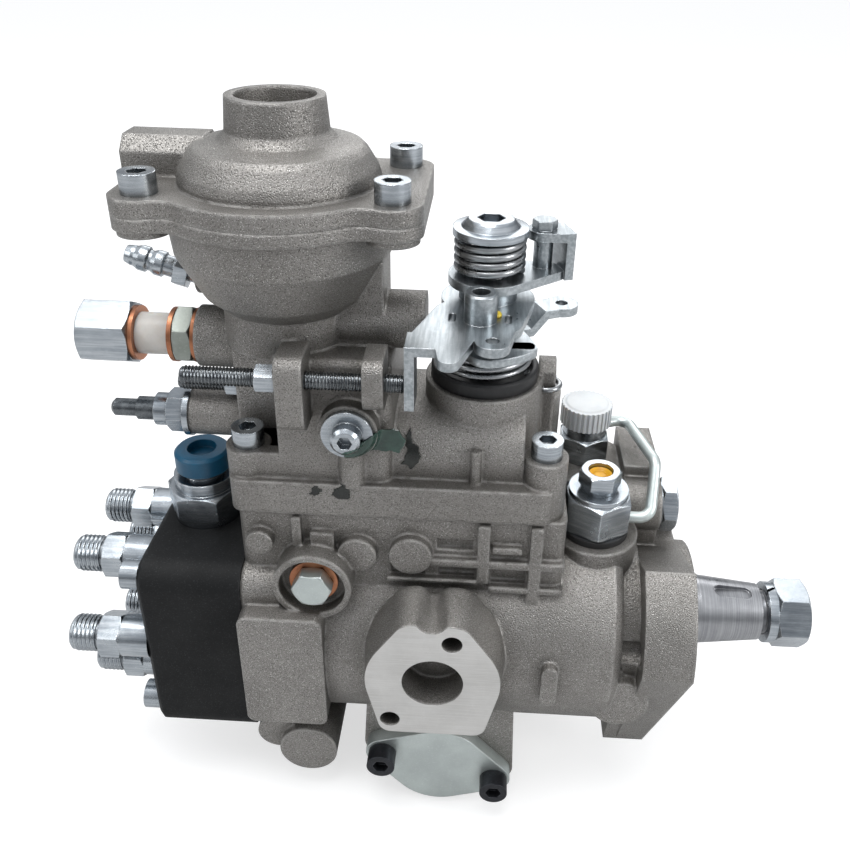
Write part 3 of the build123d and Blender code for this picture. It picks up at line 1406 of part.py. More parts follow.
def make_corrector_lever():
    """Frame hung on the pivot screws, with the hinge pin of the governor lever."""
    solid = None
    for side in (-1, 1):
        ends = sorted((side * frame_half_width, side * (frame_half_width - frame_plate)))
        cheek = block(pivot_x - 5, pivot_x + 5, ends[0], ends[1], lever_axis_height - 7, cover_joint)
        cheek += block(frame_back, pivot_x + 5, ends[0], ends[1], 52.0, 62.0)
        solid = cheek if solid is None else solid + cheek
    solid += block(frame_back, frame_back + frame_plate, -frame_half_width, frame_half_width, 54.0, 62.0)
    solid += block(frame_back, frame_back + frame_plate, -6.0, 6.0, 60.0, full_load_z + 4)
    solid += rod_y(lever_pin_radius, -frame_half_width, frame_half_width, pivot_x, lever_axis_height)
    for side in (-1, 1):
        ends = sorted((side * (frame_half_width + 1), side * (frame_half_width - frame_plate - 1)))
        solid -= rod_y(pivot_pin_radius + running_fit, ends[0], ends[1], pivot_x, pivot_height)
    return solid


def make_pivot_screws():
    screws = []
    for side in (-1, 1):
        seat = pivot_seat + copper_thickness
        screw = crowned_hex(pivot_head_across, 5.0)
        screw = Pos(0, 0, seat) * screw + rod_z(pivot_thread_radius, cavity_half_width - 2, seat)
        screw += rod_z(pivot_pin_radius, frame_half_width - frame_plate - 0.5, seat)
        screws.append(Pos(pivot_x, 0, pivot_height) * Rot(-90 if side > 0 else 90, 0, 0) * screw)
    return screws


def make_governor_lever():
    half = lever_half_width
    body = block(pivot_x - lever_plate / 2, pivot_x + lever_plate / 2, -half, half, pivot_height - 4, cover_joint)
    body += block(pivot_x - lever_plate / 2, pivot_x + lever_plate / 2, -5, 5, 56.0, 71.0)
    for side in (-1, 1):
        ends = sorted((side * half, side * (half - 4)))
        body += block(pivot_x - lever_plate / 2, pivot_x + lever_plate / 2, ends[0], ends[1], 18.0, 32.0)
    body += rod_y(5.0, -half, half, pivot_x, lever_axis_height)
    body += rod_z(1.8, ball_height, lever_axis_height - 2.6, pivot_x, 0)
    body += Pos(pivot_x, 0, ball_height) * Sphere(ball_radius)
    return body - rod_y(lever_pin_radius + running_fit, -half - 1, half + 1, pivot_x, lever_axis_height)


def make_control_collar():
    body = rod_x(collar_radius, pivot_x - collar_width / 2, pivot_x + collar_width / 2)
    body -= rod_x(plunger_radius + running_fit, pivot_x - collar_width, pivot_x + collar_width)
    return body - rod_z(ball_radius + 0.15, ball_height - 3.2, collar_radius + 1, pivot_x, 0)


def make_governor_spring():
    left = pivot_x + lever_plate / 2 + moving_gap
    right = lever_x - crank_radius - crank_pin_radius - moving_gap
    return Pos(left, 0, 66.0) * Rot(0, 90, 0) * coil(4.6, 1.2, right - left, 9)


# Throttle levers

def seat_top():
    return tower_top + throttle_seat_height


def make_spring_seat():
    """Plastic cup on the tower that the return spring stands in."""
    body = rod_z(throttle_seat_radius, tower_top, seat_top(), lever_x, 0)
    body -= rod_z(throttle_seat_radius - throttle_seat_lip, seat_top() - 1.5, seat_top() + 1, lever_x, 0)
    body = chamfer(body.edges().group_by(Axis.Z)[-1], 0.6)
    return body - rod_z(throttle_shaft_radius + 3, tower_top - 1, seat_top() + 1, lever_x, 0)


def breakover_top():
    return breakover_plate_z + lever_thickness


def top_nut_seat():
    return breakover_top() + 0.2 + breakover_spring_length


def make_throttle_shaft():
    """Shaft through the tower, with the crank that pulls the governor spring."""
    neck = throttle_shaft_radius - 1.5
    profile = [(0, throttle_shaft_foot), (throttle_shaft_radius, throttle_shaft_foot),
               (throttle_shaft_radius, breakover_top()), (neck, breakover_top() + 1),
               (neck, top_nut_seat() + top_nut_thread), (0, top_nut_seat() + top_nut_thread)]
    body = Pos(lever_x, 0, 0) * turned_z(profile)
    arm = make_hull((Circle(throttle_shaft_radius) + Pos(-crank_radius, 0) * Circle(crank_pin_radius + 1)).edges())
    body += Pos(lever_x, 0, throttle_shaft_foot) * extrude(arm, 4.0)
    return body + rod_z(crank_pin_radius, crank_pin_foot, throttle_shaft_foot + 1, lever_x - crank_radius, 0)


def make_throttle_lever():
    """Lever clamped on the shaft: hook plate below, stop plate with its bent tab and hollow post above."""
    # Hook plate, cranked up to the lobe that the return spring pulls
    near_edge = Pos(5.0, -10.0) * RectangleRounded(20, 6, 1.5)
    low = make_hull((Circle(hub_radius + 2) + near_edge).edges())
    body = Pos(0, 0, hook_plate_z) * extrude(low, lever_thickness)
    turn = degrees(atan2(hook_lobe_y, hook_lobe_x))
    reach = (hook_lobe_x ** 2 + hook_lobe_y ** 2) ** 0.5
    step = make_face(Polyline((hub_radius, 0), (reach - 12, 0), (reach - 7, hook_lobe_lift), (reach, hook_lobe_lift),
                              (reach, hook_lobe_lift + lever_thickness), (reach - 8, hook_lobe_lift + lever_thickness),
                              (reach - 13, lever_thickness), (hub_radius, lever_thickness), close=True))
    strip = extrude(Plane.XZ * step, hook_lobe_radius - 0.8, both=True)
    lobe = rod_z(hook_lobe_radius, hook_lobe_lift, hook_lobe_lift + lever_thickness, reach, 0)
    lobe -= rod_z(hook_hole_radius, hook_lobe_lift - 1, hook_lobe_lift + lever_thickness + 1, reach, 0)
    strip -= rod_z(hook_hole_radius, hook_lobe_lift - 1, hook_lobe_lift + lever_thickness + 1, reach, 0)
    body += Pos(0, 0, hook_plate_z) * Rot(0, 0, turn) * (strip + lobe)

    # Stop plate
    hub = Circle(stop_plate_hub)
    shoulder = make_hull((hub + Pos(1.5, -19.0) * Circle(9.0)).edges())
    left_arm = make_hull((Pos(-8.0, -12.0) * Circle(8.0) + Pos(-15.0, -30.0) * Circle(6.5)).edges())
    corner = make_hull((Pos(-9.0, -26.0) * Circle(7.0) + Pos(-10.0, -43.2) * Circle(3.0)).edges())
    tongue = make_hull((Pos(1.5, -22.0) * Circle(7.0) + Pos(1.7, -32.0) * Circle(5.0)).edges())
    tab_left = throttle_tab_x - lever_x
    root = Pos((tab_left - 12) / 2, stop_rod_y) * Rectangle(-12 - tab_left, throttle_tab_width)
    outline = shoulder + left_arm + corner + tongue + root
    outline -= Pos(1.7, -31.5) * Circle(hook_hole_radius)
    for side in (-1, 1):
        outline -= Pos(post_x + 8.2 * side, post_y + 1.0) * SlotOverall(6.0, 2.2, rotation=90)
    body += Pos(0, 0, stop_plate_z) * extrude(outline, lever_thickness)
    body += block(tab_left, tab_left + lever_thickness, stop_rod_y - throttle_tab_width / 2,
                  stop_rod_y + throttle_tab_width / 2, throttle_tab_z, stop_plate_z + lever_thickness)
    top = stop_plate_z + lever_thickness
    post = rod_z(post_radius, top - 1, top + post_height, post_x, post_y)
    post = chamfer(post.edges().group_by(Axis.Z)[-1], 0.5)
    body += post - rod_z(post_bore, top + 1, top + post_height + 1, post_x, post_y)

    # Hub between the plates and up to the break-over lever
    body += rod_z(hub_radius, hook_plate_z, breakover_plate_z - moving_gap)
    body -= rod_z(throttle_shaft_radius + 0.03, hook_plate_z - 1, breakover_plate_z)
    return Pos(lever_x, 0, 0) * body


def make_throttle_spring():
    low = seat_top() - 1.5
    spring = coil(throttle_spring_radius, throttle_spring_wire, hook_plate_z - low - 0.2, throttle_spring_turns)
    return Pos(lever_x, 0, low) * spring


def make_breakover_lever():
    """Upper arm with a clevis for the linkage, which turns over its spring once the lower lever is at its stop."""
    disc = Circle(breakover_radius)
    plate = make_hull((disc + Pos(clevis_x - 4.0, clevis_y - 2.5) * Circle(4.5)).edges())
    body = extrude(plate, lever_thickness)
    turn = degrees(atan2(clevis_y, clevis_x)) + 88
    wall_plate = Rot(0, 0, 0) * Box(11.0, lever_thickness, clevis_height, align=(Align.CENTER, Align.CENTER, Align.MIN))
    body += Pos(clevis_x, clevis_y, 0) * Rot(0, 0, turn) * wall_plate
    lip = make_hull((Pos(clevis_pin_x, clevis_pin_y) * Circle(5.2)
                     + Pos(clevis_x, clevis_y) * Rot(0, 0, turn) * Rectangle(11.0, lever_thickness)).edges())
    lip_low = clevis_height - lever_thickness
    body += Pos(0, 0, lip_low) * extrude(lip, lever_thickness)
    body += rod_z(clevis_pin_radius, lever_thickness - 1, lip_low + 1, clevis_pin_x, clevis_pin_y)
    head = Pos(clevis_pin_x, clevis_pin_y, clevis_height) * crowned_hex(1.8 * clevis_head_radius, clevis_head_height)
    body += head
    body -= rod_z(throttle_shaft_radius + running_fit, -1, lever_thickness + 1)
    return Pos(lever_x, 0, breakover_plate_z) * body


def make_breakover_spring():
    spring = coil(breakover_spring_radius, breakover_spring_wire, breakover_spring_length, breakover_spring_turns)
    return Pos(lever_x, 0, breakover_top() + 0.1) * spring


def make_top_nut():
    """Flanged nut with a coned body and a hexagon socket."""
    profile = [(0, 0), (top_nut_flange, 0), (top_nut_flange, 2.2), (top_nut_cone, 2.4),
               (top_nut_top_radius, top_nut_height - 0.6), (top_nut_top_radius - 0.6, top_nut_height), (0, top_nut_height)]
    body = turned_z(profile) - hex_z(top_nut_socket, top_nut_height - 3.4, top_nut_height + 1)
    body -= rod_z(throttle_shaft_radius - 1.47, -1, top_nut_thread + thread_fit)
    return Pos(lever_x, 0, top_nut_seat()) * body


parts_by_name = {
    "housing": make_housing, "governor_cover": make_governor_cover, "cover_screws": make_cover_screws,
    "short_screws": make_short_screws, "head_screws": make_head_screws, "seal_screw": make_seal_screw,
    "distributor_head": make_distributor_head, "distributor_barrel": make_distributor_barrel,
    "head_plug": make_head_plug, "solenoid_body": make_solenoid_body, "solenoid_cap": make_solenoid_cap,
    "stop_plunger": make_stop_plunger, "boost_cover": make_boost_cover, "diaphragm": make_diaphragm,
    "boost_pin": make_boost_pin, "boost_spring": make_boost_spring, "vent_barb": make_vent_barb,
    "return_union": make_return_union, "return_spacer": make_return_spacer, "return_cap_nut": make_return_cap_nut,
    "copper_washers": make_copper_washers, "adjusting_screws": make_adjusting_screws, "lock_nuts": make_lock_nuts,
    "inlet_union": make_inlet_union, "inlet_top_nut": make_inlet_top_nut, "seal_rings": make_seal_rings,
    "overflow_union": make_overflow_union, "overflow_cap": make_overflow_cap, "overflow_tube": make_overflow_tube,
    "regulating_valve": make_regulating_valve, "timer_plates": make_timer_plates, "timer_piston": make_timer_piston,
    "timer_spring": make_timer_spring, "roller_ring": make_roller_ring, "drive_shaft": make_drive_shaft,
    "drive_nut": make_drive_nut, "spring_washer": make_spring_washer, "drive_gear": make_drive_gear,
    "vane_pump_stator": make_vane_pump_stator, "vane_rotor": make_vane_rotor, "cam_plate": make_cam_plate,
    "plunger": make_plunger, "plunger_springs": make_plunger_springs, "governor_shaft": make_governor_shaft,
    "governor_cage": make_governor_cage, "flyweights": make_flyweights, "governor_sleeve": make_governor_sleeve,
    "corrector_lever": make_corrector_lever, "pivot_screws": make_pivot_screws,
    "governor_lever": make_governor_lever, "control_collar": make_control_collar,
    "governor_spring": make_governor_spring, "spring_seat": make_spring_seat,
    "throttle_shaft": make_throttle_shaft, "throttle_lever": make_throttle_lever,
    "throttle_spring": make_throttle_spring, "breakover_lever": make_breakover_lever,
    "breakover_spring": make_breakover_spring, "top_nut": make_top_nut,
}


def make_delivery_valve_holders():
    return [make_outlet(y, z) for y, z in outlet_places()]


parts_by_name["delivery_valve_holders"] = make_delivery_valve_holders

os.makedirs("parts", exist_ok=True)
for name, make in parts_by_name.items():
    made = make()
    shape = Compound(children=[s for item in made for s in item.solids()]) if isinstance(made, list) else made
    export_step(shape, f"parts/{name}.step")
    print(name, round(shape.volume), flush=True)
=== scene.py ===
import bpy
import bmesh
from math import cos, pi, radians, sin
from mathutils import Matrix, Vector
from mathutils.noise import noise_vector as vectorNoise, seed_set as seedNoise


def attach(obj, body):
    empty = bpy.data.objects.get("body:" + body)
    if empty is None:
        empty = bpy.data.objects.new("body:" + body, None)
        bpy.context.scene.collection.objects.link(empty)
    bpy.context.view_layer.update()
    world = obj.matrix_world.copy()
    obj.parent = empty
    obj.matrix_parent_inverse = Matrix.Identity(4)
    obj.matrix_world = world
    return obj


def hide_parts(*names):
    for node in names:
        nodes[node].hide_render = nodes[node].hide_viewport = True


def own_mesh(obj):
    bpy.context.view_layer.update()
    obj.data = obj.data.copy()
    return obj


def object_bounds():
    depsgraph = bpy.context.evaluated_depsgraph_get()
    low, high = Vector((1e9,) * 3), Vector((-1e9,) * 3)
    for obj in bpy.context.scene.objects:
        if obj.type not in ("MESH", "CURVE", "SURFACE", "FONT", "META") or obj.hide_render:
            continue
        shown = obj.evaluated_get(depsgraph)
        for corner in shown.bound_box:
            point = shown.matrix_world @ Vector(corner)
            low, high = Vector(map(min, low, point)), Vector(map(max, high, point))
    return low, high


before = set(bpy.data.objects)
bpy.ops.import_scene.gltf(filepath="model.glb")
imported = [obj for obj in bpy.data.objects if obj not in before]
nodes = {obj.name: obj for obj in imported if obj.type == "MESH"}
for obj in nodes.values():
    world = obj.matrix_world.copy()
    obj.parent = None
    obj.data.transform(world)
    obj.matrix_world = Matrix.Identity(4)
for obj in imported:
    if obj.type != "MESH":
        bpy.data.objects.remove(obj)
cadBox = [[float(v) for v in corner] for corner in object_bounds()]
print("frame loaded:", len(nodes), "nodes")


# Camera first, at the photograph's angle

cameraView = {
    "place": (-0.07456, -0.24931, 0.22989),
    "lens": 36.798,
    "shift": (-0.0340, -0.0585),
    "yaw": -2.04,      # degrees, turned left
    "pitch": 28.45,    # degrees, looking down
    "roll": 1.53,
    "nearest": 0.01,
}


def placeCamera(view):
    yaw, pitch, roll = (radians(view[k]) for k in ("yaw", "pitch", "roll"))
    turnZ = Matrix(((cos(yaw), -sin(yaw), 0), (sin(yaw), cos(yaw), 0), (0, 0, 1)))
    level = Matrix(((1, 0, 0), (0, 0, -1), (0, 1, 0)))
    down = Matrix(((1, 0, 0), (0, cos(pitch), -sin(pitch)), (0, sin(pitch), cos(pitch))))
    lean = Matrix(((cos(roll), -sin(roll), 0), (sin(roll), cos(roll), 0), (0, 0, 1)))
    r = lean @ down @ level @ turnZ
    facing = Matrix((r[0], -r[1], -r[2])).transposed()
    bpy.ops.object.camera_add(location=view["place"], rotation=facing.to_euler())
    camera = bpy.context.object
    camera.name = "photoCamera"
    camera.data.lens = view["lens"]
    camera.data.shift_x, camera.data.shift_y = view["shift"]
    camera.data.clip_start = view["nearest"]
    bpy.context.scene.camera = camera


placeCamera(cameraView)
print("camera placed")


# Small helpers for modelling

def clearSelection():
    if bpy.context.object and bpy.context.object.mode != "OBJECT":
        bpy.ops.object.mode_set(mode="OBJECT")
    bpy.ops.object.select_all(action="DESELECT")


def pick(obj):
    clearSelection()
    obj.select_set(True)
    bpy.context.view_layer.objects.active = obj
    return obj


def settle(obj):
    pick(obj)
    bpy.ops.object.transform_apply(location=True, rotation=True, scale=True)
    return obj


def smooth(obj, angle=35):
    pick(obj)
    bpy.ops.object.shade_smooth_by_angle(angle=radians(angle))
    return obj


def applyAll(obj):
    pick(obj)
    for modifier in list(obj.modifiers):
        bpy.ops.object.modifier_apply(modifier=modifier.name)
    return obj


def outward(obj):
    pick(obj)
    bpy.ops.object.mode_set(mode="EDIT")
    bpy.ops.mesh.select_all(action="SELECT")
    bpy.ops.mesh.remove_doubles(threshold=0.00001)
    bpy.ops.mesh.normals_make_consistent(inside=False)
    bpy.ops.object.mode_set(mode="OBJECT")
    return obj


def twin(obj, name):
    copy = obj.copy()
    copy.data = obj.data.copy()
    copy.name = name
    bpy.context.scene.collection.objects.link(copy)
    copy.parent = None
    return copy


def soften(obj, width, segments):
    edges = obj.modifiers.new("soften", "BEVEL")
    edges.width = width
    edges.segments = segments
    return applyAll(obj)


def turnOnto(obj, axis, place):
    turns = {"x": (0, pi / 2, 0), "-x": (0, -pi / 2, 0), "y": (-pi / 2, 0, 0), "-y": (pi / 2, 0, 0), "z": (0, 0, 0)}
    obj.rotation_euler = turns[axis]
    obj.location = place
    return settle(obj)


# Shader groups that more than one finish uses

def newGroup(name, inputs, outputs):
    group = bpy.data.node_groups.new(name, "ShaderNodeTree")
    for label, value in inputs:
        socket = group.interface.new_socket(name=label, in_out="INPUT", socket_type="NodeSocketFloat")
        socket.default_value = value
    for label, kind in outputs:
        group.interface.new_socket(name=label, in_out="OUTPUT", socket_type=kind)
    return group, group.nodes.new("NodeGroupInput"), group.nodes.new("NodeGroupOutput")


def math(tree, how, first, second=None, clamp=False):
    node = tree.nodes.new("ShaderNodeMath")
    node.operation = how
    node.use_clamp = clamp
    for socket, value in zip(node.inputs, (first, second)):
        if value is None:
            continue
        if isinstance(value, (int, float)):
            socket.default_value = value
        else:
            tree.links.new(value, socket)
    return node.outputs[0]


def noise(tree, place, scale, detail=2.0, rough=0.5):
    node = tree.nodes.new("ShaderNodeTexNoise")
    tree.links.new(place, node.inputs["Vector"])
    if isinstance(scale, (int, float)):
        node.inputs["Scale"].default_value = scale
    else:
        tree.links.new(scale, node.inputs["Scale"])
    node.inputs["Detail"].default_value = detail
    node.inputs["Roughness"].default_value = rough
    return node.outputs["Fac"]


def spread(tree, value, low, high):
    node = tree.nodes.new("ShaderNodeMapRange")
    node.interpolation_type = "SMOOTHSTEP"
    tree.links.new(value, node.inputs["Value"])
    node.inputs["From Min"].default_value = low
    node.inputs["From Max"].default_value = high
    return node.outputs["Result"]


# Grain height, pits and tone clouds of the blasted casting, and a mask of bright specks that paints glints into the
# colour
grainLook = {"detail": 3.0, "rough": 0.62, "pitShare": 0.75, "pitEdge": (0.05, 0.55), "fineHeight": 0.6,
             "pitHeight": 0.4, "sparkleShare": 1.9, "sparkleDetail": 1.0, "sparkleEdge": (0.60, 0.74),
             "cloudDetail": 4.0, "cloudRough": 0.6}


def buildBlastedGrainAndGlints(look):
    group, into, out = newGroup("blastedGrainAndGlints", [("Grain", 1400.0), ("Cloud", 28.0)],
                                [("Grain", "NodeSocketFloat"), ("Sparkle", "NodeSocketFloat"),
                                 ("Cloud", "NodeSocketFloat")])
    place = group.nodes.new("ShaderNodeTexCoord").outputs["Object"]
    fine = noise(group, place, into.outputs["Grain"], look["detail"], look["rough"])
    pits = group.nodes.new("ShaderNodeTexVoronoi")
    group.links.new(place, pits.inputs["Vector"])
    group.links.new(math(group, "MULTIPLY", into.outputs["Grain"], look["pitShare"]), pits.inputs["Scale"])
    pitMask = spread(group, pits.outputs["Distance"], *look["pitEdge"])
    fineHeight = math(group, "MULTIPLY", fine, look["fineHeight"])
    pitHeight = math(group, "MULTIPLY", pitMask, look["pitHeight"])
    height = math(group, "ADD", fineHeight, pitHeight)
    group.links.new(height, out.inputs["Grain"])
    glintScale = math(group, "MULTIPLY", into.outputs["Grain"], look["sparkleShare"])
    glints = noise(group, place, glintScale, look["sparkleDetail"])
    group.links.new(spread(group, glints, *look["sparkleEdge"]), out.inputs["Sparkle"])
    clouds = noise(group, place, into.outputs["Cloud"], look["cloudDetail"], look["cloudRough"])
    group.links.new(clouds, out.inputs["Cloud"])
    return group


# Edges found by the Bevel node, broken up by noise: a mask for worn edges and painted edge highlights
edgeLook = {"samples": 4, "width": 0.0007, "breakup": 260.0, "detail": 3.0, "edge": (0.01, 0.14),
            "broken": (0.30, 0.62)}


def buildEdgeWearAndHighlight(look):
    group, into, out = newGroup("edgeWearAndHighlight", [("Width", look["width"]), ("Breakup", look["breakup"])],
                                [("Edge", "NodeSocketFloat"), ("Normal", "NodeSocketVector")])
    bevel = group.nodes.new("ShaderNodeBevel")
    bevel.samples = look["samples"]
    group.links.new(into.outputs["Width"], bevel.inputs["Radius"])
    geometry = group.nodes.new("ShaderNodeNewGeometry")
    dot = group.nodes.new("ShaderNodeVectorMath")
    dot.operation = "DOT_PRODUCT"
    group.links.new(bevel.outputs["Normal"], dot.inputs[0])
    group.links.new(geometry.outputs["Normal"], dot.inputs[1])
    place = group.nodes.new("ShaderNodeTexCoord").outputs["Object"]
    edge = spread(group, math(group, "SUBTRACT", 1.0, dot.outputs["Value"]), *look["edge"])
    broken = spread(group, noise(group, place, into.outputs["Breakup"], look["detail"]), *look["broken"])
    group.links.new(math(group, "MULTIPLY", edge, broken), out.inputs["Edge"])
    group.links.new(bevel.outputs["Normal"], out.inputs["Normal"])
    return group


# Darkening in hollows and creases from ambient occlusion, broken up by noise patches: settled dirt and painted shade
dirtAndShadeLook = {"samples": 4, "power": 1.4, "least": 0.55, "stain": 0.9, "scale": 90.0, "detail": 4.0, "rough": 0.65}


def buildSettledDirtAndShade(look):
    group, into, out = newGroup("settledDirtAndShade", [("Reach", 0.006)], [("DirtAndShade", "NodeSocketFloat")])
    hollow = group.nodes.new("ShaderNodeAmbientOcclusion")
    hollow.samples = look["samples"]
    group.links.new(into.outputs["Reach"], hollow.inputs["Distance"])
    place = group.nodes.new("ShaderNodeTexCoord").outputs["Object"]
    openness = math(group, "POWER", hollow.outputs["AO"], look["power"])
    dirtAndShade = math(group, "SUBTRACT", 1.0, openness, clamp=True)
    patches = noise(group, place, look["scale"], look["detail"], look["rough"])
    stain = math(group, "ADD", look["least"], math(group, "MULTIPLY", patches, look["stain"]))
    group.links.new(math(group, "MULTIPLY", dirtAndShade, stain, clamp=True), out.inputs["DirtAndShade"])
    return group


def buildFineLines():
    group, into, out = newGroup("fineLines", [("X lines", 40.0), ("Y lines", 40.0), ("Z lines", 2400.0)],
                                [("Lines", "NodeSocketFloat")])
    place = group.nodes.new("ShaderNodeTexCoord").outputs["Object"]
    stretch = group.nodes.new("ShaderNodeCombineXYZ")
    for label, socket in zip(("X lines", "Y lines", "Z lines"), stretch.inputs):
        group.links.new(into.outputs[label], socket)
    scaled = group.nodes.new("ShaderNodeVectorMath")
    scaled.operation = "MULTIPLY"
    group.links.new(place, scaled.inputs[0])
    group.links.new(stretch.outputs[0], scaled.inputs[1])
    lines = noise(group, scaled.outputs[0], scale=1.0, detail=3.0, rough=0.6)
    group.links.new(lines, out.inputs["Lines"])
    return group


grainAndGlintGroup = buildBlastedGrainAndGlints(grainLook)
wearAndHighlightGroup = buildEdgeWearAndHighlight(edgeLook)
dirtAndShadeGroup = buildSettledDirtAndShade(dirtAndShadeLook)
lineGroup = buildFineLines()


def placeGroup(tree, group, values):
    node = tree.nodes.new("ShaderNodeGroup")
    node.node_tree = group
    for label, value in values.items():
        node.inputs[label].default_value = value
    return node


def blendColour(tree, mask, under, over, how="MIX"):
    node = tree.nodes.new("ShaderNodeMix")
    node.data_type = "RGBA"
    node.blend_type = how
    tree.links.new(mask, node.inputs["Factor"])
    for socket, value in ((node.inputs["A"], under), (node.inputs["B"], over)):
        if isinstance(value, tuple):
            socket.default_value = (*value, 1.0)
        else:
            tree.links.new(value, socket)
    return node.outputs["Result"]
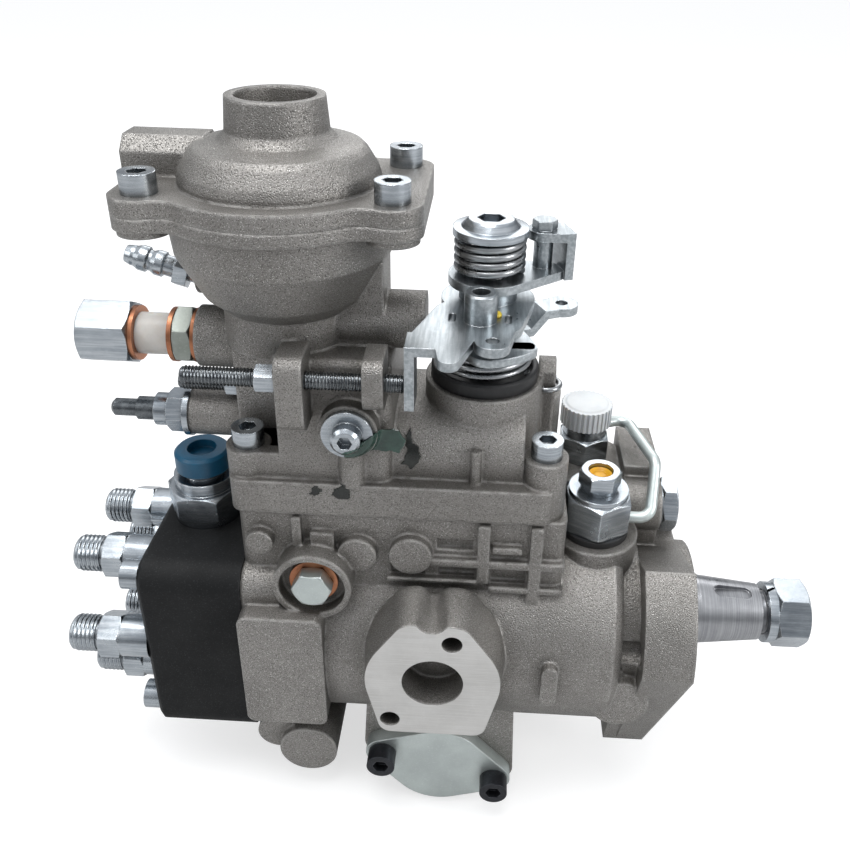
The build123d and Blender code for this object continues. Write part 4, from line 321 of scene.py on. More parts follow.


# Finishes: colours are linear, sizes in metres, grains per metre

# In each finish the dark hollow colour is settled dirt and painted shade, the edge colour is worn edges and painted
# edge highlights, and the spark colour is painted glints
finishes = {
    "castAluminium": {"colour": (0.320, 0.307, 0.290), "patch": (0.237, 0.227, 0.213), "edge": (0.60, 0.585, 0.565),
                      "dirtAndShade": (0.085, 0.078, 0.068), "spark": (0.95, 0.93, 0.90), "sparkle": 0.80,
                      "pit": (0.135, 0.128, 0.118),
                      "metallic": 0.80, "rough": (0.30, 0.52), "grain": 2300.0, "cloud": 26.0,
                      "bump": 1.0, "depth": 0.00026, "bevel": 0.0016, "wearAndHighlight": 0.55, "grimeAndShade": 0.75, "reach": 0.008},
    "machinedAluminium": {"colour": (0.70, 0.69, 0.67), "patch": (0.60, 0.59, 0.57), "edge": (0.85, 0.85, 0.84),
                          "dirtAndShade": (0.20, 0.19, 0.18), "spark": (0.9, 0.9, 0.9), "sparkle": 0.10,
                          "metallic": 0.9, "rough": (0.30, 0.42), "grain": 900.0, "cloud": 60.0,
                          "bump": 0.10, "depth": 0.00010, "bevel": 0.0004, "wearAndHighlight": 0.4, "grimeAndShade": 0.4, "reach": 0.004,
                          "lines": (60.0, 2200.0, 2200.0)},
    "blackPhosphate": {"colour": (0.0065, 0.007, 0.0075), "patch": (0.010, 0.0105, 0.011), "edge": (0.10, 0.10, 0.10),
                       "dirtAndShade": (0.006, 0.006, 0.006), "spark": (0.09, 0.095, 0.10), "sparkle": 0.22,
                       "metallic": 0.0, "rough": (0.50, 0.68), "shine": 0.22, "grain": 1300.0, "cloud": 40.0,
                       "bump": 0.30, "depth": 0.00018, "bevel": 0.0010, "wearAndHighlight": 0.35, "grimeAndShade": 0.5, "reach": 0.006},
    "brightZinc": {"colour": (0.44, 0.48, 0.515), "patch": (0.34, 0.375, 0.41), "edge": (0.92, 0.95, 0.97),
                   "dirtAndShade": (0.10, 0.11, 0.12), "spark": (0.9, 0.95, 1.0), "sparkle": 0.10,
                   "metallic": 1.0, "rough": (0.16, 0.30), "grain": 800.0, "cloud": 90.0,
                   "bump": 0.05, "depth": 0.00008, "bevel": 0.0005, "wearAndHighlight": 0.6, "grimeAndShade": 0.8, "reach": 0.004,
                   "lines": (60.0, 60.0, 1500.0)},
    "leverZinc": {"colour": (0.40, 0.435, 0.455), "patch": (0.31, 0.345, 0.365), "edge": (0.92, 0.95, 0.97),
                  "dirtAndShade": (0.12, 0.13, 0.14), "spark": (0.9, 0.95, 1.0), "sparkle": 0.12,
                  "metallic": 1.0, "rough": (0.24, 0.40), "grain": 700.0, "cloud": 70.0,
                  "bump": 0.06, "depth": 0.00008, "bevel": 0.0004, "wearAndHighlight": 0.6, "grimeAndShade": 0.7, "reach": 0.004,
                  "lines": (900.0, 60.0, 900.0)},
    "rodZinc": {"colour": (0.20, 0.215, 0.225), "patch": (0.12, 0.13, 0.14), "edge": (0.85, 0.87, 0.88),
                "dirtAndShade": (0.04, 0.045, 0.05), "spark": (0.9, 0.95, 1.0), "sparkle": 0.10,
                "metallic": 1.0, "rough": (0.18, 0.34), "grain": 900.0, "cloud": 300.0,
                "bump": 0.05, "depth": 0.00008, "bevel": 0.0003, "wearAndHighlight": 0.6, "grimeAndShade": 0.8, "reach": 0.002},
    "greenZinc": {"colour": (0.36, 0.385, 0.355), "patch": (0.27, 0.295, 0.265), "edge": (0.72, 0.74, 0.70),
                  "dirtAndShade": (0.07, 0.075, 0.065), "spark": (0.7, 0.74, 0.7), "sparkle": 0.10,
                  "metallic": 0.95, "rough": (0.28, 0.44), "grain": 900.0, "cloud": 120.0,
                  "bump": 0.07, "depth": 0.00008, "bevel": 0.0005, "wearAndHighlight": 0.5, "grimeAndShade": 0.6, "reach": 0.004},
    "timerZinc": {"colour": (0.66, 0.72, 0.70), "patch": (0.54, 0.59, 0.58), "edge": (0.85, 0.88, 0.87),
                  "dirtAndShade": (0.14, 0.15, 0.15), "spark": (0.9, 0.95, 0.95), "sparkle": 0.22,
                  "metallic": 0.85, "rough": (0.30, 0.46), "grain": 1100.0, "cloud": 55.0,
                  "bump": 0.12, "depth": 0.00010, "bevel": 0.0006, "wearAndHighlight": 0.4, "grimeAndShade": 0.5, "reach": 0.004},
    "turnedSteel": {"colour": (0.34, 0.345, 0.36), "patch": (0.26, 0.265, 0.28), "edge": (0.75, 0.76, 0.78),
                    "dirtAndShade": (0.06, 0.06, 0.065), "spark": (0.8, 0.8, 0.8), "sparkle": 0.05,
                    "metallic": 1.0, "rough": (0.24, 0.38), "grain": 700.0, "cloud": 80.0,
                    "bump": 0.10, "depth": 0.00008, "bevel": 0.0004, "wearAndHighlight": 0.5, "grimeAndShade": 0.4, "reach": 0.004,
                    "lines": (2600.0, 30.0, 30.0)},
    "springSteel": {"colour": (0.46, 0.475, 0.485), "patch": (0.34, 0.35, 0.36), "edge": (0.7, 0.7, 0.7),
                    "dirtAndShade": (0.03, 0.03, 0.03), "spark": (0.7, 0.7, 0.7), "sparkle": 0.05,
                    "metallic": 1.0, "rough": (0.20, 0.36), "grain": 900.0, "cloud": 150.0,
                    "bump": 0.05, "depth": 0.00006, "bevel": 0.0002, "wearAndHighlight": 0.3, "grimeAndShade": 0.6, "reach": 0.003},
    "copperWasher": {"colour": (0.56, 0.245, 0.135), "patch": (0.40, 0.165, 0.09), "edge": (0.86, 0.50, 0.34),
                     "dirtAndShade": (0.10, 0.05, 0.03), "spark": (0.9, 0.6, 0.45), "sparkle": 0.08,
                     "metallic": 1.0, "rough": (0.24, 0.40), "grain": 900.0, "cloud": 200.0,
                     "bump": 0.06, "depth": 0.00006, "bevel": 0.0003, "wearAndHighlight": 0.5, "grimeAndShade": 0.4, "reach": 0.003},
    "blackRubber": {"colour": (0.010, 0.010, 0.011), "patch": (0.018, 0.018, 0.019), "edge": (0.05, 0.05, 0.05),
                    "dirtAndShade": (0.005, 0.005, 0.005), "spark": (0.1, 0.1, 0.1), "sparkle": 0.05,
                    "metallic": 0.0, "rough": (0.38, 0.55), "grain": 900.0, "cloud": 90.0,
                    "bump": 0.08, "depth": 0.00008, "bevel": 0.0005, "wearAndHighlight": 0.4, "grimeAndShade": 0.3, "reach": 0.004},
    "blackScrew": {"colour": (0.016, 0.017, 0.020), "patch": (0.028, 0.030, 0.036), "edge": (0.14, 0.15, 0.17),
                   "dirtAndShade": (0.006, 0.006, 0.006), "spark": (0.2, 0.2, 0.22), "sparkle": 0.10,
                   "metallic": 0.6, "rough": (0.28, 0.42), "grain": 900.0, "cloud": 120.0,
                   "bump": 0.08, "depth": 0.00008, "bevel": 0.0005, "wearAndHighlight": 0.5, "grimeAndShade": 0.4, "reach": 0.004},
    "bluePlastic": {"colour": (0.004, 0.098, 0.190), "patch": (0.003, 0.070, 0.140), "edge": (0.03, 0.22, 0.38),
                    "dirtAndShade": (0.004, 0.03, 0.06), "spark": (0.1, 0.3, 0.5), "sparkle": 0.06,
                    "metallic": 0.0, "rough": (0.26, 0.40), "grain": 900.0, "cloud": 90.0,
                    "bump": 0.05, "depth": 0.00008, "bevel": 0.0006, "wearAndHighlight": 0.3, "grimeAndShade": 0.4, "reach": 0.004},
    "milkyPlastic": {"colour": (0.66, 0.635, 0.60), "patch": (0.58, 0.55, 0.51), "edge": (0.85, 0.84, 0.82),
                     "dirtAndShade": (0.34, 0.32, 0.29), "spark": (0.9, 0.9, 0.9), "sparkle": 0.04,
                     "metallic": 0.0, "rough": (0.28, 0.40), "grain": 700.0, "cloud": 120.0,
                     "bump": 0.04, "depth": 0.00008, "bevel": 0.0005, "wearAndHighlight": 0.3, "grimeAndShade": 0.4, "reach": 0.005,
                     "milk": 0.35},
    "capPlastic": {"colour": (0.64, 0.66, 0.67), "patch": (0.57, 0.59, 0.60), "edge": (0.82, 0.84, 0.85),
                   "dirtAndShade": (0.30, 0.31, 0.32), "spark": (0.8, 0.8, 0.8), "sparkle": 0.04,
                   "metallic": 0.0, "rough": (0.36, 0.50), "grain": 700.0, "cloud": 120.0,
                   "bump": 0.05, "depth": 0.00008, "bevel": 0.0004, "wearAndHighlight": 0.3, "grimeAndShade": 0.5, "reach": 0.004,
                   "milk": 0.15},
    "orangePlug": {"colour": (0.80, 0.43, 0.014), "patch": (0.66, 0.31, 0.010), "edge": (0.85, 0.50, 0.08),
                   "dirtAndShade": (0.22, 0.09, 0.01), "spark": (0.9, 0.6, 0.2), "sparkle": 0.04,
                   "metallic": 0.0, "rough": (0.30, 0.42), "grain": 700.0, "cloud": 220.0,
                   "bump": 0.05, "depth": 0.00008, "bevel": 0.0004, "wearAndHighlight": 0.3, "grimeAndShade": 0.3, "reach": 0.004},
    "greenLacquer": {"colour": (0.010, 0.034, 0.025), "patch": (0.022, 0.064, 0.047), "edge": (0.16, 0.26, 0.21),
                     "dirtAndShade": (0.004, 0.010, 0.008), "spark": (0.2, 0.3, 0.25), "sparkle": 0.04,
                     "metallic": 0.0, "rough": (0.10, 0.26), "grain": 500.0, "cloud": 180.0,
                     "bump": 0.16, "depth": 0.00020, "bevel": 0.0005, "wearAndHighlight": 0.4, "grimeAndShade": 0.3, "reach": 0.003,
                     "coat": 0.5},
    "blackLacquer": {"colour": (0.010, 0.011, 0.010), "patch": (0.022, 0.026, 0.022), "edge": (0.08, 0.09, 0.08),
                     "dirtAndShade": (0.004, 0.004, 0.004), "spark": (0.1, 0.1, 0.1), "sparkle": 0.04,
                     "metallic": 0.0, "rough": (0.16, 0.34), "grain": 600.0, "cloud": 200.0,
                     "bump": 0.14, "depth": 0.00015, "bevel": 0.0004, "wearAndHighlight": 0.3, "grimeAndShade": 0.3, "reach": 0.003},
    "yellowPaint": {"colour": (0.74, 0.56, 0.02), "patch": (0.62, 0.44, 0.012), "edge": (0.82, 0.66, 0.12),
                    "dirtAndShade": (0.25, 0.17, 0.01), "spark": (0.9, 0.8, 0.3), "sparkle": 0.03,
                    "metallic": 0.0, "rough": (0.30, 0.46), "grain": 700.0, "cloud": 200.0,
                    "bump": 0.12, "depth": 0.00012, "bevel": 0.0003, "wearAndHighlight": 0.2, "grimeAndShade": 0.3, "reach": 0.003},
}


# How much each layer counts in every finish

layers = {"cloudEdge": (0.32, 0.68), "pitEdge": (0.34, 0.66), "streakEdge": (0.35, 0.70), "streak": 0.30,
          "grainHeight": 0.5, "lineHeight": 0.8, "grainGloss": 0.5, "cloudGloss": 0.5,
          "milkDepth": (0.004, 0.003, 0.002)}


def makeFinish(name, look):
    material = bpy.data.materials.new(name)
    material.use_nodes = True
    tree = material.node_tree
    shader = tree.nodes["Principled BSDF"]
    grain = placeGroup(tree, grainAndGlintGroup, {"Grain": look["grain"], "Cloud": look["cloud"]})
    wearAndHighlight = placeGroup(tree, wearAndHighlightGroup, {"Width": look["bevel"], "Breakup": edgeLook["breakup"]})
    dirtAndShade = placeGroup(tree, dirtAndShadeGroup, {"Reach": look["reach"]})
    cloud = spread(tree, grain.outputs["Cloud"], *layers["cloudEdge"])
    tone = blendColour(tree, cloud, look["patch"], look["colour"])
    if "pit" in look:
        pits = spread(tree, grain.outputs["Grain"], *layers["pitEdge"])
        tone = blendColour(tree, pits, look["pit"], tone)
    height = grain.outputs["Grain"]
    if "lines" in look:
        across, along, up = look["lines"]
        lines = placeGroup(tree, lineGroup, {"X lines": across, "Y lines": along, "Z lines": up})
        streak = spread(tree, lines.outputs["Lines"], *layers["streakEdge"])
        tone = blendColour(tree, math(tree, "MULTIPLY", streak, layers["streak"]), tone, look["edge"])
        grainHeight = math(tree, "MULTIPLY", height, layers["grainHeight"])
        lineHeight = math(tree, "MULTIPLY", lines.outputs["Lines"], layers["lineHeight"])
        height = math(tree, "ADD", grainHeight, lineHeight)
    # Bright specks painted into the base colour: painted glints
    sparkle = math(tree, "MULTIPLY", grain.outputs["Sparkle"], look["sparkle"])
    tone = blendColour(tree, sparkle, tone, look["spark"])
    # Hollows pulled towards the dark hollow colour: settled dirt and painted shade
    grimeAndShade = math(tree, "MULTIPLY", dirtAndShade.outputs["DirtAndShade"], look["grimeAndShade"], clamp=True)
    tone = blendColour(tree, grimeAndShade, tone, look["dirtAndShade"])
    # Edges lifted towards the light edge colour: wear and painted highlight
    tone = blendColour(tree, math(tree, "MULTIPLY", wearAndHighlight.outputs["Edge"], look["wearAndHighlight"]), tone, look["edge"])
    tree.links.new(tone, shader.inputs["Base Color"])
    low, high = look["rough"]
    grainGloss = math(tree, "MULTIPLY", grain.outputs["Grain"], layers["grainGloss"])
    cloudGloss = math(tree, "MULTIPLY", cloud, layers["cloudGloss"])
    mixed = math(tree, "ADD", grainGloss, cloudGloss)
    gloss = math(tree, "ADD", low, math(tree, "MULTIPLY", mixed, high - low))
    tree.links.new(gloss, shader.inputs["Roughness"])
    shader.inputs["Metallic"].default_value = look["metallic"]
    if "shine" in look:
        shader.inputs["Specular IOR Level"].default_value = look["shine"]
    if "coat" in look:
        shader.inputs["Coat Weight"].default_value = look["coat"]
    if "milk" in look:
        shader.inputs["Subsurface Weight"].default_value = look["milk"]
        shader.inputs["Subsurface Radius"].default_value = layers["milkDepth"]
        shader.inputs["Subsurface Scale"].default_value = 1.0
    bump = tree.nodes.new("ShaderNodeBump")
    bump.inputs["Strength"].default_value = look["bump"]
    bump.inputs["Distance"].default_value = look["depth"]
    tree.links.new(height, bump.inputs["Height"])
    tree.links.new(wearAndHighlight.outputs["Normal"], bump.inputs["Normal"])
    tree.links.new(bump.outputs["Normal"], shader.inputs["Normal"])
    return material


materials = {name: makeFinish(name, look) for name, look in finishes.items()}
print("finishes made:", len(materials))


# Finish of each CAD node

nodeFinish = {
    "castAluminium": ("housing", "governor_cover", "boost_cover"),
    "blackPhosphate": ("distributor_head",),
    "brightZinc": ("cover_screws", "short_screws", "head_screws", "seal_screw", "head_plug", "solenoid_body",
                   "vent_barb", "return_cap_nut", "lock_nuts", "inlet_union", "inlet_top_nut", "overflow_union",
                   "regulating_valve", "top_nut", "delivery_valve_holders", "drive_nut", "spring_washer"),
    "leverZinc": ("throttle_lever", "breakover_lever"),
    "rodZinc": ("adjusting_screws",),
    "greenZinc": ("return_union",),
    "timerZinc": ("timer_plates", "overflow_tube", "pivot_screws"),
    "turnedSteel": ("distributor_barrel", "stop_plunger", "boost_pin", "timer_piston", "roller_ring", "drive_shaft",
                    "drive_gear", "vane_pump_stator", "vane_rotor", "cam_plate", "plunger", "governor_shaft",
                    "governor_cage", "flyweights", "governor_sleeve", "corrector_lever", "governor_lever",
                    "control_collar", "throttle_shaft"),
    "springSteel": ("boost_spring", "timer_spring", "plunger_springs", "governor_spring", "throttle_spring",
                    "breakover_spring"),
    "copperWasher": ("copper_washers",),
    "blackRubber": ("seal_rings", "spring_seat", "diaphragm"),
    "bluePlastic": ("solenoid_cap",),
    "milkyPlastic": ("return_spacer",),
    "capPlastic": ("overflow_cap",),
}


def wearFinish(obj, finish):
    obj.data.materials.clear()
    obj.data.materials.append(materials[finish])


for finish, names in nodeFinish.items():
    for name in names:
        wearFinish(nodes[name], finish)


def paintFaces(name, finish, chosen):
    mesh = nodes[name].data
    mesh.materials.append(materials[finish])
    slotNumber = len(mesh.materials) - 1
    for face in mesh.polygons:
        if chosen(face.center, face.normal):
            face.material_index = slotNumber


# Faces with a finish of their own: the timer's screws, the side port's face and the mounting flange's face

facing = 0.98
portFace = {"y": -0.050, "x": -0.086, "depth": 0.0003, "reach": 0.03}
flangeDepth = 0.0004


def onPortFace(centre, normal):
    level = abs(centre.y - portFace["y"]) < portFace["depth"]
    return normal.y < -facing and level and abs(centre.x - portFace["x"]) < portFace["reach"]


def onFlangeFace(centre, normal):
    return normal.x > facing and abs(centre.x) < flangeDepth


paintFaces("short_screws", "blackScrew", lambda centre, normal: centre.z < 0)
paintFaces("housing", "machinedAluminium", onPortFace)
paintFaces("housing", "machinedAluminium", onFlangeFace)
print("finishes placed")


# Threads: one ridge wound round each plain rod

threads = {
    "outlets": {"radius": 0.0060, "pitch": 0.0015, "rise": 0.00056, "steps": 28},
    "stopRods": {"radius": 0.0025, "pitch": 0.0010, "rise": 0.00046, "steps": 20},
    "shaftEnd": {"radius": 0.0080, "pitch": 0.0015, "rise": 0.00040, "steps": 32},
}
ridgeShape = {"fill": 0.98, "sunk": 0.00012, "spareTurn": 0.5}


def windThread(name, spec, length, axis, place, finish):
    clearSelection()
    bpy.ops.mesh.primitive_plane_add(size=1.0, location=(0, 0, 0), rotation=(pi / 2, 0, 0))
    ridge = bpy.context.object
    ridge.name = name
    bpy.ops.object.transform_apply(rotation=True)
    bpy.ops.object.mode_set(mode="EDIT")
    bpy.ops.mesh.select_all(action="SELECT")
    bpy.ops.transform.rotate(value=pi / 4, orient_axis="Y", center_override=(0, 0, 0))
    bpy.ops.transform.resize(value=(spec["rise"] * 2 ** 0.5, 1, spec["pitch"] * ridgeShape["fill"] / 2 ** 0.5))
    bpy.ops.transform.translate(value=(spec["radius"] - ridgeShape["sunk"], 0, spec["pitch"] / 2))
    bpy.ops.object.mode_set(mode="OBJECT")
    screw = ridge.modifiers.new("wind", "SCREW")
    screw.axis = "Z"
    screw.screw_offset = spec["pitch"]
    screw.iterations = max(1, int(length / spec["pitch"] - ridgeShape["spareTurn"]))
    screw.steps = screw.render_steps = spec["steps"]
    screw.use_merge_vertices = False
    applyAll(ridge)
    bpy.ops.object.mode_set(mode="EDIT")
    bpy.ops.mesh.select_all(action="SELECT")
    bpy.ops.mesh.fill_holes(sides=8)
    bpy.ops.mesh.normals_make_consistent(inside=False)
    bpy.ops.object.mode_set(mode="OBJECT")
    turnOnto(ridge, axis, place)
    smooth(ridge, 40)
    wearFinish(ridge, finish)
    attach(ridge, "pump_body")


outlets = {"count": 6, "circle": 0.028, "tip": -0.2143, "inset": 0.0004, "length": 0.0092}
for number in range(outlets["count"]):
    turn = -pi / 6 + number * pi / 3
    spot = (outlets["tip"] + outlets["inset"], -outlets["circle"] * sin(turn), outlets["circle"] * cos(turn))
    windThread(f"outletThread{number + 1}", threads["outlets"], outlets["length"], "x", spot, "brightZinc")

rods = {
    "stopRodThread": {"kind": "stopRods", "length": 0.0640, "place": (-0.1605, -0.033, 0.109), "finish": "rodZinc"},
    "rearRodThread": {"kind": "stopRods", "length": 0.0290, "place": (-0.1736, -0.002, 0.0895), "finish": "rodZinc"},
    "shaftEndThread": {"kind": "shaftEnd", "length": 0.0060, "place": (0.0430, 0, 0), "finish": "brightZinc"},
}
for name, rod in rods.items():
    windThread(name, threads[rod["kind"]], rod["length"], "x", rod["place"], rod["finish"])
print("threads wound")


# Orange plug pushed into the inlet's top nut

plugSize = {"centre": (-0.033, -0.006), "top": 0.0630, "radius": 0.0041, "height": 0.006, "dish": 0.0010,
            "lip": 0.0006, "step": 0.0008, "crown": 0.6, "round": 0.0003}


def makeOrangePlug(size):
    clearSelection()
    x, y = size["centre"]
    bpy.ops.mesh.primitive_cylinder_add(vertices=48, radius=size["radius"], depth=size["height"],
                                        location=(x, y, size["top"] - size["height"] / 2))
    plug = bpy.context.object
    plug.name = "orangePlug"
    settle(plug)
    bpy.ops.object.mode_set(mode="EDIT")
    bpy.ops.mesh.select_all(action="DESELECT")
    cage = bmesh.from_edit_mesh(plug.data)
    for face in cage.faces:
        face.select_set(face.normal.z > 0.9)
    bmesh.update_edit_mesh(plug.data)
    bpy.ops.mesh.inset(thickness=size["lip"])
    bpy.ops.mesh.inset(thickness=size["step"], depth=-size["dish"])
    bpy.ops.mesh.inset(thickness=size["step"], depth=size["dish"] * size["crown"])
    bpy.ops.object.mode_set(mode="OBJECT")
    soften(plug, size["round"], 2)
    smooth(plug, 40)
    wearFinish(plug, "orangePlug")
    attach(plug, "pump_body")


makeOrangePlug(plugSize)


# Cap with upright ribs on the overflow union

capSize = {"centre": (-0.035, 0.030), "foot": 0.0616, "top": 0.0695, "radius": 0.0090, "ribs": 32, "rib": 0.0004,
           "lip": 0.0010, "step": 0.0006, "raised": 0.0005, "smallest": 1e-5, "round": 0.00012}


def makeRibbedCap(size):
    clearSelection()
    x, y = size["centre"]
    tall = size["top"] - size["foot"]
    bpy.ops.mesh.primitive_cylinder_add(vertices=size["ribs"] * 4, radius=size["radius"], depth=tall,
                                        location=(x, y, size["foot"] + tall / 2))
    cap = bpy.context.object
    cap.name = "ribbedCap"
    settle(cap)
    bpy.ops.object.mode_set(mode="EDIT")
    bpy.ops.mesh.select_all(action="DESELECT")
    cage = bmesh.from_edit_mesh(cap.data)
    sides = [f for f in cage.faces if abs(f.normal.z) < 0.1]
    sides.sort(key=lambda f: (f.normal.y < 0, f.normal.x if f.normal.y < 0 else -f.normal.x))
    for index, face in enumerate(sides):
        face.select_set(index % 4 < 2)
    bmesh.update_edit_mesh(cap.data)
    bpy.ops.mesh.extrude_region_shrink_fatten(TRANSFORM_OT_shrink_fatten={"value": size["rib"]})
    bpy.ops.mesh.select_all(action="DESELECT")
    cage = bmesh.from_edit_mesh(cap.data)
    for face in cage.faces:
        face.select_set(face.normal.z > 0.9 and face.calc_area() > size["smallest"])
    bmesh.update_edit_mesh(cap.data)
    bpy.ops.mesh.inset(thickness=size["lip"])
    bpy.ops.mesh.inset(thickness=size["step"], depth=size["raised"])
    bpy.ops.object.mode_set(mode="OBJECT")
    outward(cap)
    soften(cap, size["round"], 1)
    smooth(cap, 30)
    wearFinish(cap, "capPlastic")
    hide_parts("overflow_cap")
    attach(cap, "pump_body")


makeRibbedCap(capSize)
print("plug and cap made")


# Wire of the return spring hooked round its post

hookWire = {"post": (-0.053, 0.003, 0.0915), "ring": 0.0044, "wire": 0.0010,
            "route": ((-0.0602, -0.0062, 0.1004), (-0.0592, -0.0058, 0.0990), (-0.0582, -0.0036, 0.0960),
                      (-0.0576, -0.0006, 0.0932), (-0.0572, 0.0022, 0.0918), (-0.0568, 0.0046, 0.0915))}


def makeHookWire(size):
    clearSelection()
    bpy.ops.mesh.primitive_torus_add(location=size["post"], major_radius=size["ring"], minor_radius=size["wire"],
                                     major_segments=48, minor_segments=14)
    ring = bpy.context.object
    settle(ring)
    clearSelection()
    bpy.ops.curve.primitive_nurbs_path_add()
    link = bpy.context.object
    link.data.splines.clear()
    line = link.data.splines.new("NURBS")
    line.points.add(len(size["route"]) - 1)
    for point, spot in zip(line.points, size["route"]):
        point.co = (*spot, 1)
    line.order_u = 3
    line.use_endpoint_u = True
    link.data.bevel_depth = size["wire"]
    link.data.bevel_resolution = 4
    link.data.use_fill_caps = True
    settle(link)
    bpy.ops.object.convert(target="MESH")
    clearSelection()
    link.select_set(True)
    ring.select_set(True)
    bpy.context.view_layer.objects.active = ring
    bpy.ops.object.join()
    ring.name = "hookedWire"
    smooth(ring, 60)
    wearFinish(ring, "springSteel")
    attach(ring, "pump_body")


makeHookWire(hookWire)


# Films of lacquer and black smears lying on the cover's near face

films = {
    "greenSeal": {
        "outline": [(-0.1163, 0.0868), (-0.1135, 0.0805), (-0.111, 0.0817), (-0.1051, 0.0831), (-0.0981, 0.0821),
                    (-0.0957, 0.0873), (-0.0981, 0.0914), (-0.1053, 0.092), (-0.1098, 0.0897), (-0.1132, 0.0881)],
        "finish": "greenLacquer", "ragged": 0.0010, "thick": 0.0007, "lift": 0.0003, "deepest": -0.0290, "relax": 14},
    "lacquerDrip": {
        "outline": [(-0.096, 0.0876), (-0.0945, 0.0837), (-0.092, 0.0787), (-0.0929, 0.0754), (-0.0954, 0.0737),
                    (-0.0982, 0.0754), (-0.0969, 0.0799), (-0.0975, 0.0836)],
        "finish": "blackLacquer", "ragged": 0.0012, "thick": 0.0004, "lift": 0.0002, "deepest": -0.0200, "relax": 3},
    "smearNear": {
        "outline": [(-0.1195, 0.0689), (-0.1169, 0.0702), (-0.1135, 0.0696), (-0.1139, 0.0662), (-0.1168, 0.0652),
                    (-0.119, 0.0666)],
        "finish": "blackLacquer", "ragged": 0.0022, "thick": 0.0002, "lift": 0.0001, "deepest": -0.0200, "relax": 1},
    "smearFar": {
        "outline": [(-0.1269, 0.0662), (-0.1245, 0.0686), (-0.1214, 0.068), (-0.1227, 0.0668), (-0.1253, 0.0655)],
        "finish": "blackLacquer", "ragged": 0.0022, "thick": 0.0002, "lift": 0.0001, "deepest": -0.0200, "relax": 1},
}
filmGrid = {"margin": 0.004, "step": 0.0004, "start": -0.060, "ripple": 420, "pull": 0.5, "seed": 1}


def insideOutline(x, z, outline):
    inside = False
    for (x0, z0), (x1, z1) in zip(outline, outline[1:] + outline[:1]):
        if (z0 > z) != (z1 > z) and x < (x1 - x0) * (z - z0) / (z1 - z0) + x0:
            inside = not inside
    return inside


def copyOfFace(names):
    clearSelection()
    copies = [twin(nodes[name], name + "Copy") for name in names]
    for copy in copies:
        copy.select_set(True)
    bpy.context.view_layer.objects.active = copies[0]
    bpy.ops.object.join()
    return copies[0]


def layFilm(name, film, ground):
    clearSelection()
    xs = [x for x, z in film["outline"]]
    zs = [z for x, z in film["outline"]]
    margin, step, start = filmGrid["margin"], filmGrid["step"], filmGrid["start"]
    wide, tall = max(xs) - min(xs) + margin, max(zs) - min(zs) + margin
    middle = ((max(xs) + min(xs)) / 2, start, (max(zs) + min(zs)) / 2)
    bpy.ops.mesh.primitive_grid_add(x_subdivisions=int(wide / step), y_subdivisions=int(tall / step), size=1,
                                    location=middle, rotation=(pi / 2, 0, 0))
    sheet = bpy.context.object
    sheet.name = name
    sheet.scale = (wide, tall, 1)
    settle(sheet)
    bpy.ops.object.mode_set(mode="EDIT")
    bpy.ops.mesh.select_all(action="DESELECT")
    cage = bmesh.from_edit_mesh(sheet.data)
    for point in cage.verts:
        shake = vectorNoise(point.co * filmGrid["ripple"]) * film["ragged"]
        if not insideOutline(point.co.x + shake.x, point.co.z + shake.z, film["outline"]):
            point.select_set(True)
    cage.select_flush(True)
    bmesh.update_edit_mesh(sheet.data)
    bpy.ops.mesh.delete(type="VERT")
    bpy.ops.object.mode_set(mode="OBJECT")
    for point in sheet.data.vertices:
        found, place = ground.ray_cast((point.co.x, start, point.co.z), (0, 1, 0))[:2]
        depth = place.y - film["lift"] if found else film["deepest"]
        point.co.y = min(depth, film["deepest"])
    relax = sheet.modifiers.new("relax", "SMOOTH")
    relax.factor = filmGrid["pull"]
    relax.iterations = film["relax"]
    body = sheet.modifiers.new("body", "SOLIDIFY")
    body.thickness = film["thick"]
    body.offset = 0
    applyAll(sheet)
    outward(sheet)
    smooth(sheet, 60)
    wearFinish(sheet, film["finish"])
    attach(sheet, "pump_body")


seedNoise(filmGrid["seed"])
ground = copyOfFace(("governor_cover", "seal_screw"))
for name, film in films.items():
    layFilm(name, film, ground)
bpy.data.objects.remove(ground)
print("lacquer laid")


# Spring steel copies of the boost and timer springs, each with a mesh of its own, in place of the CAD springs

springMoves = {
    "boost_spring": {"piece": "squeezedBoostSpring", "joint": "boost_slide", "axis": (0, 0, 1), "end": 0.120,
                     "travel": 0.006},
    "timer_spring": {"piece": "squeezedTimerSpring", "joint": "advance_slide", "axis": (0, 1, 0), "end": 0.034,
                     "travel": 0.007},
}


def makeSqueezedSpring(node, move):
    spring = twin(nodes[node], move["piece"])
    for key in list(spring.keys()):
        del spring[key]
    outward(spring)
    smooth(spring, 60)
    wearFinish(spring, "springSteel")
    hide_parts(node)
    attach(spring, "pump_body")
    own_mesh(spring)


for node, move in springMoves.items():
    makeSqueezedSpring(node, move)


# Dab of yellow paint at the foot of the hollow post

dabSize = {"place": (-0.0709, -0.0146, 0.1236), "size": (0.0017, 0.0019, 0.0010), "lump": 0.0014, "swell": 0.0008}


def makeYellowDab(size):
    clearSelection()
    bpy.ops.mesh.primitive_ico_sphere_add(subdivisions=4, radius=1, location=size["place"])
    dab = bpy.context.object
    dab.name = "yellowDab"
    dab.scale = size["size"]
    settle(dab)
    lumps = dab.modifiers.new("lumps", "DISPLACE")
    pattern = bpy.data.textures.new("lumpPattern", "CLOUDS")
    pattern.noise_scale = size["lump"]
    lumps.texture = pattern
    lumps.texture_coords = "GLOBAL"
    lumps.strength = size["swell"]
    applyAll(dab)
    smooth(dab, 80)
    wearFinish(dab, "yellowPaint")
    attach(dab, "throttle")


makeYellowDab(dabSize)


# Near rim of the throttle lever's hook plate

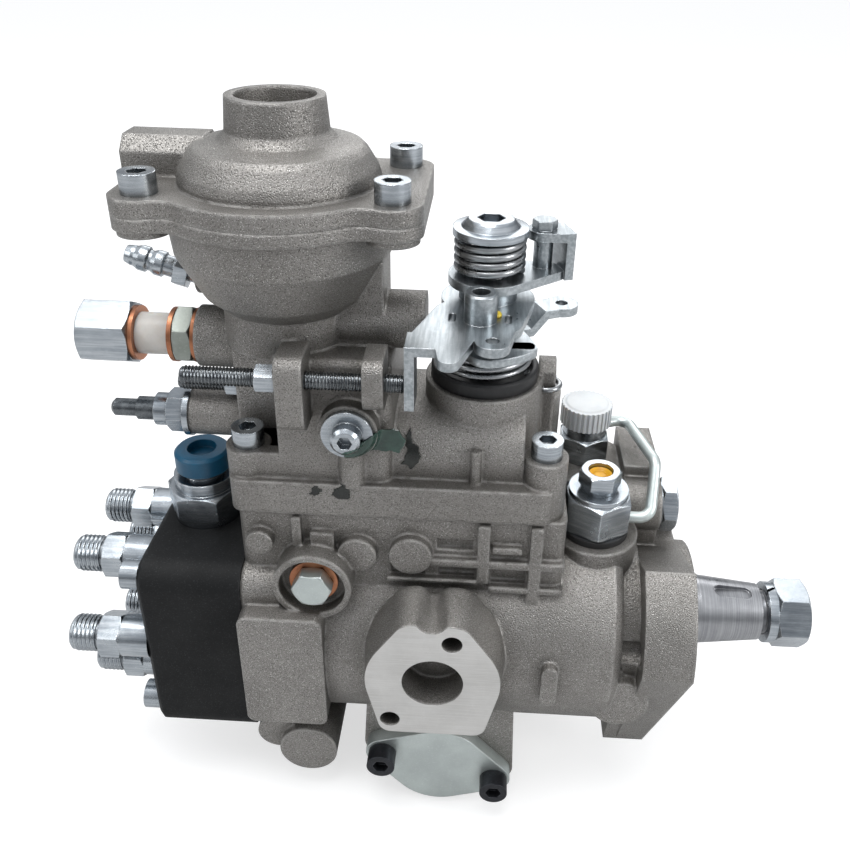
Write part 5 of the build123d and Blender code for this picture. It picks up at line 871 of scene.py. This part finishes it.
rimSize = {"low": 0.1090, "thick": 0.0028, "centre": (-0.0672, -0.0118), "corner": 0.0012, "round": 0.0003,
           "edge": ((-0.0800, -0.0095), (-0.0800, -0.0160), (-0.0776, -0.0196), (-0.0751, -0.0213), (-0.0721, -0.0217),
                    (-0.0677, -0.0203), (-0.0632, -0.0178), (-0.0584, -0.0138), (-0.0574, -0.0112), (-0.0592, -0.0078))}


def makeHookRim(size):
    clearSelection()
    bpy.ops.mesh.primitive_circle_add(vertices=len(size["edge"]), radius=0.01, fill_type="NGON",
                                      location=(*size["centre"], size["low"]))
    rim = bpy.context.object
    rim.name = "hookPlateRim"
    settle(rim)
    for point, (x, y) in zip(rim.data.vertices, size["edge"]):
        point.co.x, point.co.y = x, y
    bpy.ops.object.mode_set(mode="EDIT")
    bpy.ops.mesh.select_all(action="SELECT")
    bpy.ops.mesh.bevel(offset=size["corner"], segments=3, affect="VERTICES")
    bpy.ops.mesh.select_all(action="SELECT")
    bpy.ops.mesh.extrude_region_move(TRANSFORM_OT_translate={"value": (0, 0, size["thick"])})
    bpy.ops.object.mode_set(mode="OBJECT")
    outward(rim)
    soften(rim, size["round"], 2)
    smooth(rim, 35)
    wearFinish(rim, "leverZinc")
    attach(rim, "throttle")


makeHookRim(rimSize)


# Floor and lights

stageLook = {"size": 40.0, "drop": 0.0004, "colour": (0.50, 0.50, 0.50), "rough": 0.75, "glow": 0.59, "sky": 1.0,
             "ramp": ((0.05, (0.13, 0.14, 0.155, 1)), (0.85, (0.92, 0.94, 0.97, 1)))}
lights = {
    "top": {"place": (-0.25, -0.15, 1.35), "aim": (-0.08, 0, 0.06), "size": (0.8, 0.6), "power": 11},
    "right": {"place": (1.15, -0.55, 0.60), "aim": (-0.05, 0, 0.03), "size": (0.5, 0.6), "power": 8},
    "left": {"place": (-1.15, -0.65, 0.75), "aim": (-0.12, 0, 0.06), "size": (0.5, 0.7), "power": 3},
    "back": {"place": (0.10, 1.15, 0.75), "aim": (-0.08, 0, 0.08), "size": (1.0, 0.5), "power": 4},
}


def makeStage(look):
    clearSelection()
    bpy.ops.mesh.primitive_plane_add(size=look["size"], location=(0, 0, cadBox[0][2] - look["drop"]))
    floor = bpy.context.object
    floor.name = "paleFloor"
    material = bpy.data.materials.new("paleFloor")
    material.use_nodes = True
    shader = material.node_tree.nodes["Principled BSDF"]
    shader.inputs["Base Color"].default_value = (*look["colour"], 1)
    shader.inputs["Roughness"].default_value = look["rough"]
    shader.inputs["Emission Color"].default_value = (1, 1, 1, 1)
    rays = material.node_tree.nodes.new("ShaderNodeLightPath")
    glow = math(material.node_tree, "MULTIPLY", rays.outputs["Is Camera Ray"], look["glow"])
    material.node_tree.links.new(glow, shader.inputs["Emission Strength"])
    floor.data.materials.append(material)
    world = bpy.data.worlds.new("studio")
    bpy.context.scene.world = world
    world.use_nodes = True
    sky = world.node_tree
    background = sky.nodes["Background"]
    split = sky.nodes.new("ShaderNodeSeparateXYZ")
    sky.links.new(sky.nodes.new("ShaderNodeTexCoord").outputs["Generated"], split.inputs[0])
    shade = sky.nodes.new("ShaderNodeValToRGB")
    for stop, (height, colour) in zip(shade.color_ramp.elements, look["ramp"]):
        stop.position = height
        stop.color = colour
    sky.links.new(split.outputs["Z"], shade.inputs["Fac"])
    sky.links.new(shade.outputs["Color"], background.inputs["Color"])
    background.inputs["Strength"].default_value = look["sky"]


def addLight(name, spec):
    direction = Vector(spec["aim"]) - Vector(spec["place"])
    facingAim = direction.to_track_quat("-Z", "Y").to_euler()
    bpy.ops.object.light_add(type="AREA", location=spec["place"], rotation=facingAim)
    lamp = bpy.context.object
    lamp.name = name + "Light"
    lamp.data.shape = "RECTANGLE"
    lamp.data.size, lamp.data.size_y = spec["size"]
    lamp.data.energy = spec["power"]


makeStage(stageLook)
for name, spec in lights.items():
    addLight(name, spec)
print("stage and lights set")

bpy.context.scene.view_settings.view_transform = "Standard"
